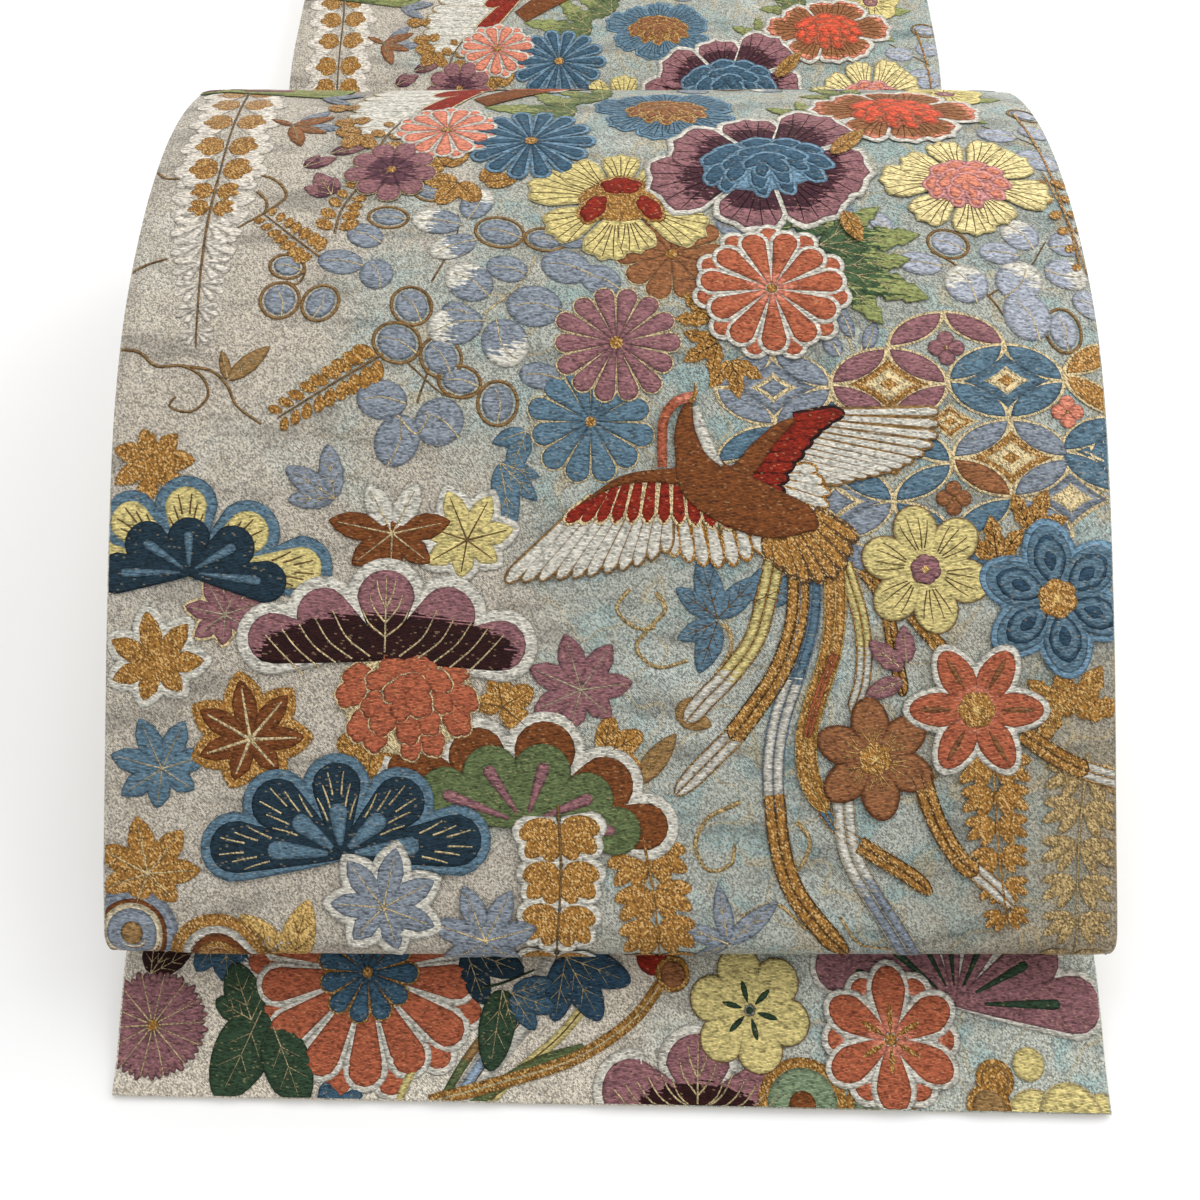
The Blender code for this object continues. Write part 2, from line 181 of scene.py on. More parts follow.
class Sash:
    """The sash's centre line, and the surface swept from it across the cloth."""

    def __init__(self, form: SashForm) -> None:
        """Works the line out from the form's sizes.

        Args:
            form: The sash's sizes.
        """
        self.form = form
        self.line = smooth_line(self._stations(), form.line_step)
        steps = np.linalg.norm(np.diff(self.line, axis=0), axis=1)
        self.length = np.concatenate([[0.0], np.cumsum(steps)])
        tangent = np.gradient(self.line, axis=0)
        tangent /= np.linalg.norm(tangent, axis=1, keepdims=True)
        self.normal = np.stack([-tangent[:, 1], tangent[:, 0]], axis=1)
        self.drum_start = self.at(form.inner_layer[-1])
        self.return_start = self.at(form.return_layer[0])
        self.lower_start = self.at((form.return_fold[0] - form.return_fold[1],
                                    form.thickness / 2 + form.return_fold[1]))
        self.run_start = self.at(form.climb)
        self.end = self.length[-1]

    def _stations(self) -> Grid:
        """The line's stations: the form's tables joined by the arcs of the folds.

        Returns:
            The stations, one a row.
        """
        form = self.form
        half = form.thickness / 2
        foot = (form.drum_back_along - form.foot_turn_radius,
                form.return_layer[0][1] + form.foot_turn_radius)
        far = (form.overall_length - half - form.far_fold_radius,
               form.run[-1][1] - form.far_fold_radius)
        inner = (form.inner_fold[0], form.flap[-1][1] + form.inner_fold[1])
        back = (form.return_fold[0], half + form.return_fold[1])
        points = [
            form.flap, self._arc(*inner, form.inner_fold[1], -90, 90),
            form.inner_layer, self._arc(*form.bottom_fold, 270, 90 + form.face_slope_deg),
            form.drum_top, self._arc(*foot, form.foot_turn_radius, 0, -90),
            form.return_layer, self._arc(*back, form.return_fold[1], 90, 270),
            form.run, self._arc(*far, form.far_fold_radius, 90, -90), form.far_end]
        return np.vstack([np.array(part) for part in points])

    @staticmethod
    def _arc(along: float, height: float, radius: float, start: float, end: float) -> Grid:
        """Stations on an arc, 22.5 degrees apart at most, angles counted from +along to up."""
        angles = np.radians(np.linspace(start, end, math.ceil(abs(end - start) / 22.5) + 1))
        return np.stack([along + radius * np.cos(angles), height + radius * np.sin(angles)], 1)

    def at(self, station: tuple) -> float:
        """Length along the cloth, in metres, at the line's place nearest to a station."""
        return self.length[np.argmin(np.linalg.norm(self.line - np.array(station), axis=1))]

    def rise(self, across: Grid, along: Grid) -> Grid:
        """Height of the creases and of the cloth's broad swells, in metres.

        The swells are products of long sines, faded in over the drum's face, roof and back.

        Args:
            across: Places across the cloth in metres.
            along: Places along the cloth in metres.

        Returns:
            How far the surface stands out at each place.
        """
        u, s = across / MM, along / MM
        height = np.zeros(np.broadcast(u, s).shape)
        for crease in CREASES:
            height += crease.rise(u, s)
        drum = np.clip((s - 395) / 40, 0, 1) * np.clip((860 - s) / 40, 0, 1)
        height += drum * 0.35 * np.sin(u / 41 + 0.7) * np.sin(s / 57 + 1.9)
        height += drum * 0.22 * np.sin(u / 23 - s / 61) * np.sin(s / 31 + u / 90)
        return height * MM

    def surface(self, across: Grid, along: Grid, offset: Grid) -> Grid:
        """Places on or near the cloth as places in the frame.

        A place is the line's at its length, moved by the offset and the creases along the line's
        normal, then across, with the skew of the tail, the droop of the drum's corners and the
        drift of the run that folding by hand leaves.

        Args:
            across: Places across the cloth in metres.
            along: Lengths along the cloth in metres.
            offset: Distances from the wall's middle, positive on the face side, in metres.

        Returns:
            An array of x, y and z with the shape of the arguments.
        """
        form = self.form
        half = form.width / 2
        out = offset + self.rise(across, along)
        place = [np.interp(along, self.length, self.line[:, axis])
                 + out * np.interp(along, self.length, self.normal[:, axis]) for axis in (0, 1)]
        ahead, height = place
        fade = np.clip(1 - ahead / form.flap_skew_fade, 0, 1) * (along < self.drum_start)
        skewed = ahead - form.flap_skew * fade * across / half
        near_top = np.clip((height / form.drum_peak - 0.6) / 0.4, 0, 1)
        corner = np.clip((np.abs(across) - half) / form.corner_reach + 1, 0, 1)
        low = np.clip(1 - (ahead - form.bottom_fold[0]) / form.bottom_fade, 0, 1)
        left = np.clip((-across - half) / form.bottom_reach + 1, 0, 1)
        drum = (along >= self.drum_start) & (along < self.return_start)
        moved = np.where(drum, skewed + form.bottom_shift * low * left ** 2, skewed)
        drooped = height - form.corner_droop * near_top * corner ** 2 * drum
        drift = form.run_drift * np.maximum(0, moved - form.drift_start)
        side = across + drift * (along > self.lower_start)
        return self.to_world(side, moved, drooped)

    def to_world(self, side: Grid, ahead: Grid, height: Grid) -> Grid:
        """Puts section places in the object's frame.

        Args:
            side: Places across.
            ahead: Places along the section.
            height: Heights.

        Returns:
            An array of x, y and z.
        """
        form = self.form
        widest = form.run_drift * (form.overall_length - form.drift_start)
        middle = form.flap_skew / 2 - form.overall_length / 2
        return np.stack([side - widest / 2, ahead + middle, height + 0 * side], axis=-1)


# ---------------- colours
class Silk(Enum):
    """Dyed silks and metal threads, as their shown colours in hexadecimal."""

    WHITE = "c7c3b7"
    CREAM = "cdbf9f"
    SILVER = "a9a6a0"
    CORAL = "a55a3e"
    SALMON = "cf8068"
    ORANGE = "cf5236"
    ROSE = "c98a86"
    RED = "812212"
    MAUVE = "885e62"
    PLUM = "5d3a44"
    GARNET = "43232c"
    MAROON = "2a0d0d"
    LAVENDER = "808892"
    LILAC = "9ea3ad"
    PALE_BLUE = "8fa2b5"
    SKY = "6c8ba0"
    INK = "2d475a"
    SHELL = "cfc7ba"
    SAGE = "77886a"
    BLUE = "587282"
    DEEP_BLUE = "3a5669"
    NAVY = "1c303c"
    YELLOW = "cbbb7c"
    PALE_YELLOW = "dccb92"
    BROWN = "71401d"
    TAN = "8a5a38"
    GREEN = "5b6842"
    DARK_GREEN = "2f4430"
    MOSS = "3f5638"
    OLIVE = "858c56"
    OCHRE = "8f6f45"
    CREAM_GILT = "c9b68c"
    DARK_GILT = "5d3f1b"
    FADED_GILT = "9c8458"
    GILT = "9a6c2c"
    PALE_GILT = "bd9a58"

    @property
    def linear(self) -> tuple[float, float, float, float]:
        """The colour in linear light, with full alpha."""
        codes = [int(self.value[place:place + 2], 16) / 255 for place in (0, 2, 4)]
        return tuple(code / 12.92 if code < 0.04 else ((code + 0.055) / 1.055) ** 2.4
                     for code in codes) + (1.0,)


@dataclass(frozen=True)
class Thread:
    """What a woven area is made of: a colour that may turn into a second one along it."""

    tint: Silk
    shade: Silk | None = None
    turn_at: float = 0.5
    turn_over: float = 0.35

    @property
    def gilt(self) -> bool:
        """True for metal thread."""
        return self.tint.name.endswith("GILT")


# One plain thread of each silk, in their order.
(WHITE, CREAM, SILVER, CORAL, SALMON, ORANGE, ROSE, RED, MAUVE, PLUM, GARNET, MAROON, LAVENDER,
 LILAC, PALE_BLUE, SKY, INK, SHELL, SAGE, BLUE, DEEP_BLUE, NAVY, YELLOW, PALE_YELLOW, BROWN, TAN,
 GREEN, DARK_GREEN, MOSS, OLIVE, OCHRE, CREAM_GILT, DARK_GILT, FADED_GILT, GILT, PALE_GILT) = map(
    Thread, Silk)


# ---------------- woven areas
RIM_BREADTH = 0.9


@dataclass(frozen=True)
class Spot:
    """A place on the cloth in mm, a turn in degrees anticlockwise, and a level in the stack."""

    across: float
    along: float
    turn: float = 0.0
    level: float = 0.0

    def place(self, x: Grid, y: Grid) -> tuple[Grid, Grid]:
        """Turns and moves a figure's own places onto the cloth."""
        cos, sin = math.cos(math.radians(self.turn)), math.sin(math.radians(self.turn))
        return self.across + x * cos - y * sin, self.along + x * sin + y * cos

    def moved(self, x: float, y: float, turn: float = 0.0, up: float = 0.0) -> "Spot":
        """Another spot, given in this one's own places."""
        across, along = self.place(x, y)
        return Spot(float(across), float(along), self.turn + turn, self.level + up)

    def raised(self, up: float, turn: float = 0.0) -> "Spot":
        """The same spot higher in the stack, and perhaps turned."""
        return self.moved(0, 0, turn, up)


@dataclass
class Patch:
    """A woven area as a grid of places on the cloth, in mm, and what its points carry."""

    across: Grid
    along: Grid
    inside: Grid
    mix: Grid
    level: float
    thread: Thread


def eased(count: int) -> Grid:
    """Shares from 0 to 1 in a column, closer together near both ends."""
    return (1 - np.cos(np.linspace(0, np.pi, count)))[:, None] / 2


def sides(count: int) -> Grid:
    """Places from -1 to 1 in a row, closer together near both ends."""
    return np.sin(np.linspace(-np.pi / 2, np.pi / 2, count))[None, :]


class Weaver:
    """Gathers the woven areas of one family of figures."""

    def __init__(self) -> None:
        """Starts with no areas."""
        self.patches: list[Patch] = []

    def add(self, spot: Spot, x: Grid, y: Grid, edge: Grid, mix: Grid, thread: Thread) -> None:
        """Keeps a grid of places as a woven area.

        Args:
            spot: Where the figure's own places are counted from.
            x: Own places across.
            y: Own places along.
            edge: Distances from the area's edge.
            mix: Shares of the way along the area, on which a thread that turns depends.
            thread: Its thread.
        """
        x, y, edge, mix = np.broadcast_arrays(x, y, edge, mix)
        mix = np.clip((mix - thread.turn_at) / thread.turn_over + 0.5, 0, 1)
        self.patches.append(Patch(*spot.place(x, y), np.clip(edge / RIM_BREADTH, 0, 1),
                                  mix * bool(thread.shade), spot.level, thread))

    def wedge(self, spot: Spot, start: float, reach: float, breadth: float, thread: Thread,
              neck: float = 0.15, swell: float = 1.0, grow: float = 0.0, cap: float = 1.0,
              rows: int = 11) -> None:
        """Weaves a petal with a round end that points along +y of its spot.

        Its half breadth rises from `neck` of itself as a power, `swell`, of the way to the round
        end, and falls over the end as a quarter of an ellipse.

        Args:
            spot: Middle of the flower.
            start: How far from the spot the petal starts.
            reach: How far from the spot it ends.
            breadth: Its full breadth where the round end begins.
            thread: Its thread.
            neck: Share of the breadth at its start.
            swell: Under 1 it broadens early, above 1 late.
            grow: How much larger it is all round, for a border under another petal.
            cap: Length of the round end in half breadths.
            rows: Rows of the grid.
        """
        start, reach, breadth = start - 0.5 * grow, reach + grow, breadth + 2 * grow
        t, v = eased(rows), sides(7)
        y = start + (reach - start) * t
        height = min(cap * breadth / 2, 0.85 * (reach - start))
        foot = reach - height
        rise = np.clip((y - start) / (foot - start), 0, 1) ** swell
        over = np.clip((y - foot) / height, 0, 1)
        half = breadth / 2 * np.minimum(neck + (1 - neck) * rise, np.sqrt(1 - over ** 2))
        edge = np.minimum((1 - np.abs(v)) * half, np.minimum(reach - y, y - start + 0.3))
        self.add(spot, half * v, y, edge, t, thread)

    def lens(self, spot: Spot, size: tuple, side: tuple, thread: Thread, inset: float) -> None:
        """Weaves a quarter lens of a linked circle, squashed to the circle's two radii.

        On a circle of radius 1 the lens lies from one pole to the next, and its half breadth is
        the root of 1 - u squared, less the root of a half.

        Args:
            spot: Middle of the circle.
            size: The circle's radii across and along.
            side: Signs across and along of the quarter.
            thread: Its thread.
            inset: How much smaller it is all round, as a share of the radius.
        """
        root, v = math.sqrt(0.5), sides(7)
        u = (root - inset) * sides(11).T
        half = np.clip(np.sqrt(1 - (u * root / (root - inset)) ** 2) - root - 0.8 * inset, 0, 1)
        x = size[0] * side[0] * root * (root + v * half + u)
        y = size[1] * side[1] * root * (root + v * half - u)
        self.add(spot, x, y, (1 - np.abs(v)) * half * min(size), u + 0.5, thread)

    def star(self, spot: Spot, across: float, along: float, thread: Thread) -> None:
        """Weaves a four-pointed star with hollow sides: cosine and sine to the power 2.4.

        Args:
            spot: Its middle.
            across: Its reach across.
            along: Its reach along.
            thread: Its thread.
        """
        angle = np.linspace(0, 2 * np.pi, 17)[None, :]
        ring = np.array([0.0, 0.6, 1.0])[:, None]
        x, y = (np.sign(wave) * np.abs(wave) ** 2.4 for wave in (np.sin(angle), np.cos(angle)))
        self.add(spot, -across * ring * x, along * ring * y, 2 * RIM_BREADTH * (1 - ring), 0.0,
                 thread)

    def petal(self, spot: Spot, length: float, breadth: float, thread: Thread, root: float = 0.0,
              bulge: float = 1.0, point: float = 0.6, grow: float = 0.0, rows: int = 0,
              teeth: int = 0) -> None:
        """Weaves a petal or leaf that points along +y of its spot.

        Its half breadth is a sine of the share of its length raised to `bulge`, the sine being
        raised to `point`.

        Args:
            spot: Where the petal's middle of growth is.
            length: Its length.
            breadth: Its full breadth.
            thread: Its thread.
            root: How far from the spot it starts.
            bulge: Under 1 it is broadest near the root, above 1 near the tip.
            point: How pointed its ends are: 0.5 is an oval, 1 is pointed.
            grow: How much larger it is all round, for a border under another petal.
            rows: Rows of the grid, or 0 for as many as the length needs.
            teeth: How many forward-pointing teeth its sides have.
        """
        length, breadth, root = length + 2 * grow, breadth + 2 * grow, root - grow
        v = sides(7)
        if teeth:
            rows = 4 * teeth + 1
            t = np.linspace(0, 1, rows)[:, None]
            tooth = 1 - 0.3 * (np.arange(rows)[:, None] % 4) / 3
        else:
            t, tooth = eased(rows or int(np.clip(length / 2.2, 6, 14))), 1
        half = breadth / 2 * np.sin(np.pi * t ** bulge) ** point * tooth
        edge = np.minimum((1 - np.abs(v)) * half, np.minimum(t, 1 - t) * length)
        self.add(spot, half * v, root + length * t, edge, t, thread)

    def oval(self, spot: Spot, length: float, breadth: float, thread: Thread,
             lobes: int = 0, depth: float = 0.0, around: int = 20) -> None:
        """Weaves an oval, or a round figure with a lobed border, centred on its spot.

        Args:
            spot: Its middle.
            length: Its size along.
            breadth: Its size across.
            thread: Its thread.
            lobes: How many lobes its border has.
            depth: How far the border draws in between the lobes, as a share.
            around: Places round the border, at least.
        """
        angle = np.linspace(0, 2 * np.pi, max(around, lobes * 6) + 1)[None, :]
        reach = 1 - depth * (1 - np.abs(np.cos(lobes * angle / 2)) ** 0.7)
        ring = np.array([0.0, 0.45, 0.8, 1.0])[:, None]
        y = length / 2 * reach * ring * np.cos(angle)
        self.add(spot, -breadth / 2 * reach * ring * np.sin(angle), y,
                 (1 - ring) * min(length, breadth) / 2, y / length + 0.5, thread)

    def fan_petal(self, spot: Spot, start: float, reach: float, sweep: float, thread: Thread,
                  grow: float = 0.0) -> None:
        """Weaves a broad petal with a scalloped end, as a sector about its spot.

        Its sides spread over the last twentieth of its sweep. Its end is lower at the sides and
        waved by a cosine.

        Args:
            spot: Middle of the flower, +y being the petal's middle.
            start: Distance at which the petal starts.
            reach: Distance at which it ends.
            sweep: Full angle in degrees.
            thread: Its thread.
            grow: How much larger it is all round.
        """
        start, reach = max(0.3, start - grow), reach + grow
        spread = math.radians(sweep) / 2 + grow / reach
        t, v = eased(7), sides(13)
        angle = v * spread * (0.95 + 0.05 * np.sin(np.pi * t / 2))
        lower = 0.1 * v ** 2 + 0.22 * np.abs(v) ** 6
        scallop = 0.045 * np.cos(3 * np.pi * v) * (1 - v ** 4)
        radius = start + (reach - start) * t * (1 - t * (lower - scallop + 0.045))
        edge = np.minimum((1 - np.abs(v)) * radius * spread, (1 - t) * (reach - start))
        self.add(spot, -radius * np.sin(angle), radius * np.cos(angle), edge, t, thread)

    def ribbon(self, spot: Spot, path: tuple, breadth: float, thread: Thread, taper: float = 0.0,
               step: float = 2.0, close: Grid | None = None) -> None:
        """Weaves a line or band along a smooth path.

        Args:
            spot: Where the path's own places are counted from.
            path: The path's places.
            breadth: The band's breadth.
            thread: Its thread, which turns along the path.
            taper: Share of the breadth lost towards the end.
            step: Distance between the band's rows.
            close: Shares of the breadth along the path, or None for all of it.
        """
        line = smooth_line(path, step)
        tangent = np.gradient(line, axis=0)
        tangent /= np.linalg.norm(tangent, axis=1, keepdims=True) + 1e-9
        t = np.linspace(0, 1, len(line))[:, None]
        v = np.array([-1.0, 0.0, 1.0])[None, :]
        half = breadth / 2 * (1 - taper * t)
        if close is not None:
            half = half * np.interp(t[:, 0], np.linspace(0, 1, len(close)), close[:, 0])[:, None]
        self.add(spot, line[:, :1] - tangent[:, 1:] * half * v,
                 line[:, 1:] + tangent[:, :1] * half * v, RIM_BREADTH * (1 - np.abs(v)), t, thread)


# ---------------- figures
class Figure(ABC):
    """Something woven into the cloth. Sizes are in mm, turns in degrees anticlockwise."""

    @abstractmethod
    def weave(self, weaver: Weaver) -> None:
        """Adds the figure's areas.

        Args:
            weaver: What gathers them.
        """


@dataclass(frozen=True)
class Flower(Figure):
    """A round flower of equal petals on a border, with rays, petals or lines in them.

    `fullness` is a petal's share of its room. Tips of petals behind show between the petals up to
    `drop_reach` of the radius. `inner` gives shares and threads of petals within each petal.
    """

    at: tuple
    radius: float
    petals: int
    thread: Thread
    border: Thread | None = WHITE
    border_breadth: float = 0.9
    turn: float = 0.0
    level: float = 0.0
    fullness: float = 0.92
    cap: float = 1.0
    heart: Thread = GILT
    heart_share: float = 0.11
    drop_reach: float = 0.0
    rays: int = 0
    lines: Thread | None = None
    line_span: tuple = (0.3, 0.72)
    inner: tuple = ()
    inner_breadth: float = 0.78
    inner_root: float = 0.16

    def weave(self, weaver: Weaver) -> None:
        """Weaves borders, drops, petals, what lies in them, rays of gilt, and the heart.

        Args:
            weaver: Gathers the areas.
        """
        spot = Spot(*self.at, self.turn, self.level)
        step, many = 360 / self.petals, self.petals > 8
        root = 0.09 * self.radius
        breadth = 1.6 * self.radius * math.tan(math.radians(step) / 2) * self.fullness
        shape = dict(neck=0.15 if many else 0.2, swell=1.0 if many else 0.7, cap=self.cap)
        if many:
            weaver.oval(spot.raised(-0.3), 1.3 * self.radius, 1.3 * self.radius, self.border,
                        around=16)
        for petal in range(self.petals):
            turned = spot.raised(0.3 * (petal % 2), petal * step)
            reach = self.radius * (1 - 0.035 * (petal % 2) + 0.02 * (petal % 3)) if many \
                else self.radius
            if self.border:
                weaver.wedge(turned, root, reach, breadth, self.border,
                             grow=self.border_breadth, **shape)
            weaver.wedge(turned.raised(1.2), root, reach, breadth, self.thread, **shape)
            if self.drop_reach:
                size = (0.74 * self.drop_reach * self.radius, self.drop_reach * self.radius,
                        0.8 * breadth)
                weaver.wedge(turned.raised(-1.2, step / 2), *size, self.border, 0.45,
                             grow=self.border_breadth, rows=8)
                weaver.wedge(turned.raised(-0.6, step / 2), *size, self.thread, 0.45, rows=8)
            for ring, (share, thread) in enumerate(self.inner):
                weaver.petal(turned.raised(2 + 0.6 * ring), 0.72 * share * self.radius,
                             self.inner_breadth * share * breadth, thread,
                             self.radius * (self.inner_root + 0.34 * (1 - share)), 1.2, 0.62)
            low, high = self.line_span
            for line in (-1.0, -0.4, 0.4, 1.0) if self.lines else ():
                bow = 0.32 * breadth * line
                path = ((0.3 * bow, low * self.radius), (0.8 * bow, (low + high) / 2 * self.radius),
                        (bow, (high - 0.1 * abs(line)) * self.radius))
                weaver.ribbon(turned.raised(3), path, 0.42, self.lines, 0.5, 2.5)
        for ray in range(self.rays):
            weaver.ribbon(spot.raised(2.4, (ray + 0.5) * 360 / self.rays),
                          ((0, root), (0, 0.96 * self.radius)), 0.5, CREAM_GILT, 0.3, 3)
        size = 2 * self.heart_share * self.radius
        weaver.oval(spot.raised(4), size, size, self.heart, 0 if many else self.petals, 0.12)
        if self.heart_share > 0.2:
            weaver.oval(spot.raised(4.8), 0.25 * size, 0.25 * size, PALE_GILT, around=8)


@dataclass(frozen=True)
class Peony(Figure):
    """A full flower: scalloped outer petals, or none, and a heart of crowded lobes."""

    at: tuple
    radius: float
    outer: Thread
    border: Thread
    lobe: Thread
    lobe_border: Thread
    petals: int = 8
    vein: Thread | None = None
    turn: float = 0.0
    level: float = 0.0
    heart_share: float = 0.5
    lobes: int = 7
    stretch: float = 1.0
    rim: float = 1.3
    squash: float = 1.0
    heart_squash: float = 1.0
    edging: float = 1.3

    def weave(self, weaver: Weaver) -> None:
        """Weaves the outer petals with their borders and veins, then the heart.

        Args:
            weaver: Gathers the areas.
        """
        spot = Spot(*self.at, self.turn, self.level)
        step = 360 / max(1, self.petals)
        for petal in range(self.petals):
            aside = abs(math.sin(math.radians(petal * step)))
            reach = self.radius * (1.0, 0.9, 1.05, 0.95)[petal % 4] * (
                self.stretch * aside + self.squash * (1 - aside))
            turned = spot.raised(0.8 * (petal % 2), petal * step + 6 * math.sin(petal * 2.1))
            start = self.radius * self.heart_share * 0.6
            sweep = step * (0.98, 1.08, 1.02)[petal % 3]
            weaver.fan_petal(turned, start, reach, sweep, self.border, self.rim)
            weaver.fan_petal(turned.raised(1.4), start, reach, sweep, self.outer)
            for vein in (-0.72, -0.36, 0.0, 0.36, 0.72) if self.vein else ():
                angle = math.radians(step) / 2 * vein
                span = np.linspace(start + 0.18 * (reach - start),
                                   reach * (0.94 - 0.12 * vein ** 2), 3)
                path = np.stack([-span * np.sin(angle * (span / reach) ** 1.5 + 0.1 * vein),
                                 span * math.cos(angle)], 1)
                weaver.ribbon(turned.raised(2.6), path, 0.42, self.vein, 0.3, 3)
        self.weave_heart(weaver, spot)

    def weave_heart(self, weaver: Weaver, spot: Spot) -> None:
        """Weaves rings of lobes, each edged, the inner rings on the outer.

        Args:
            weaver: Gathers the areas.
            spot: The flower's middle.
        """
        size = self.radius * self.heart_share
        rows = ((0.76, self.lobes + 3, 0.21, 0), (0.47, self.lobes, 0.21, 0.5),
                (0.17, 4, 0.21, 0.3)) if self.lobes > 3 else ((0.66, self.lobes, 0.45, 0),)
        weaver.oval(spot.raised(3.4), 1.8 * size * self.heart_squash, 1.8 * size * self.stretch,
                    self.lobe_border)
        for row, (share, count, reach, shift) in enumerate(rows):
            for lobe in range(count):
                angle = 2 * math.pi * (lobe + shift) / count + 0.25 * math.sin(3.1 * lobe)
                place = spot.moved(size * share * math.sin(angle) * self.stretch,
                                   size * share * math.cos(angle) * self.heart_squash,
                                   -math.degrees(angle) * 0.5, 4 + 1.3 * row + 0.5 * (lobe % 2))
                broad = 2.6 * size * reach * (1 + 0.12 * math.sin(5.0 * lobe + row))
                tall = broad / 1.3 * self.heart_squash
                grown = self.edging - 0.1
                weaver.oval(place, tall + grown, broad + grown, self.lobe_border, 5, 0.1)
                weaver.oval(place.raised(0.8), tall - self.edging, broad - self.edging,
                            self.lobe, 5, 0.14)


TRIPLE = ((0, 1.0), (48, 0.9), (-48, 0.9))
SEVEN = ((0, 1.0), (50, 0.97), (-50, 0.95), (98, 0.88), (-98, 0.9), (148, 0.72), (-148, 0.7))


@dataclass(frozen=True)
class Leaf(Figure):
    """A leaf of pointed lobes, given as turns and shares of its length, with veins.

    `even` is how far the shorter lobes keep the breadth of the longest.
    """

    at: tuple
    length: float
    turn: float
    thread: Thread
    lobes: tuple = TRIPLE
    breadth: float = 0.5
    level: float = 0.0
    teeth: int = 0
    vein: Thread | None = CREAM_GILT
    point: float = 0.7
    border: Thread | None = None
    border_breadth: float = 1.2
    vein_breadth: float = 0.42
    upper: Thread | None = None
    bulge: float = 0.85
    even: float = 0.0

    def weave(self, weaver: Weaver) -> None:
        """Weaves each lobe on its border, a vein along it and short side veins.

        Args:
            weaver: Gathers the areas.
        """
        spot = Spot(*self.at, self.turn, self.level)
        if self.even:
            weaver.oval(spot.raised(0.9), 0.5 * self.length, 0.5 * self.length, self.thread)
        for angle, share in self.lobes:
            lobe = spot.raised(0.3 * (angle == 0), angle)
            length = self.length * share
            breadth = self.length * self.breadth * (share + self.even * (1 - share))
            thread = self.upper if self.upper and abs(angle) < 60 else self.thread
            if self.border:
                weaver.petal(lobe, length, breadth, self.border, 0, self.bulge - 0.03,
                             self.point - 0.08, self.border_breadth)
            weaver.petal(lobe.raised(1), length, breadth, thread, 0, self.bulge, self.point,
                         teeth=self.teeth)
            if self.vein is None:
                continue
            top = lobe.raised(2.2)
            weaver.ribbon(top, ((0, 0), (0, 0.85 * length)), self.vein_breadth, self.vein, 0.5, 3)
            for side in (-1, 1) if length > 12 and not self.even else ():
                for place in (0.25, 0.5):
                    tip = (side * 0.3 * breadth, (place + 0.2) * length)
                    weaver.ribbon(top, ((0, place * length), tip), 0.35, self.vein, 0.5, 3)


@dataclass(frozen=True)
class Maple(Leaf):
    """A maple leaf of seven lobes."""

    lobes: tuple = SEVEN
    breadth: float = 0.48
    point: float = 0.8
    vein_breadth: float = 0.6
    bulge: float = 1.15
    even: float = 0.7


@dataclass(frozen=True)
class Band:
    """One of a pine bough's nested rows of lobes.

    It is inset by so much, and its outermost lobes start at `root` of their reach.
    """

    inset: float
    thread: Thread
    root: float = 0.0
    neck: float = 0.18


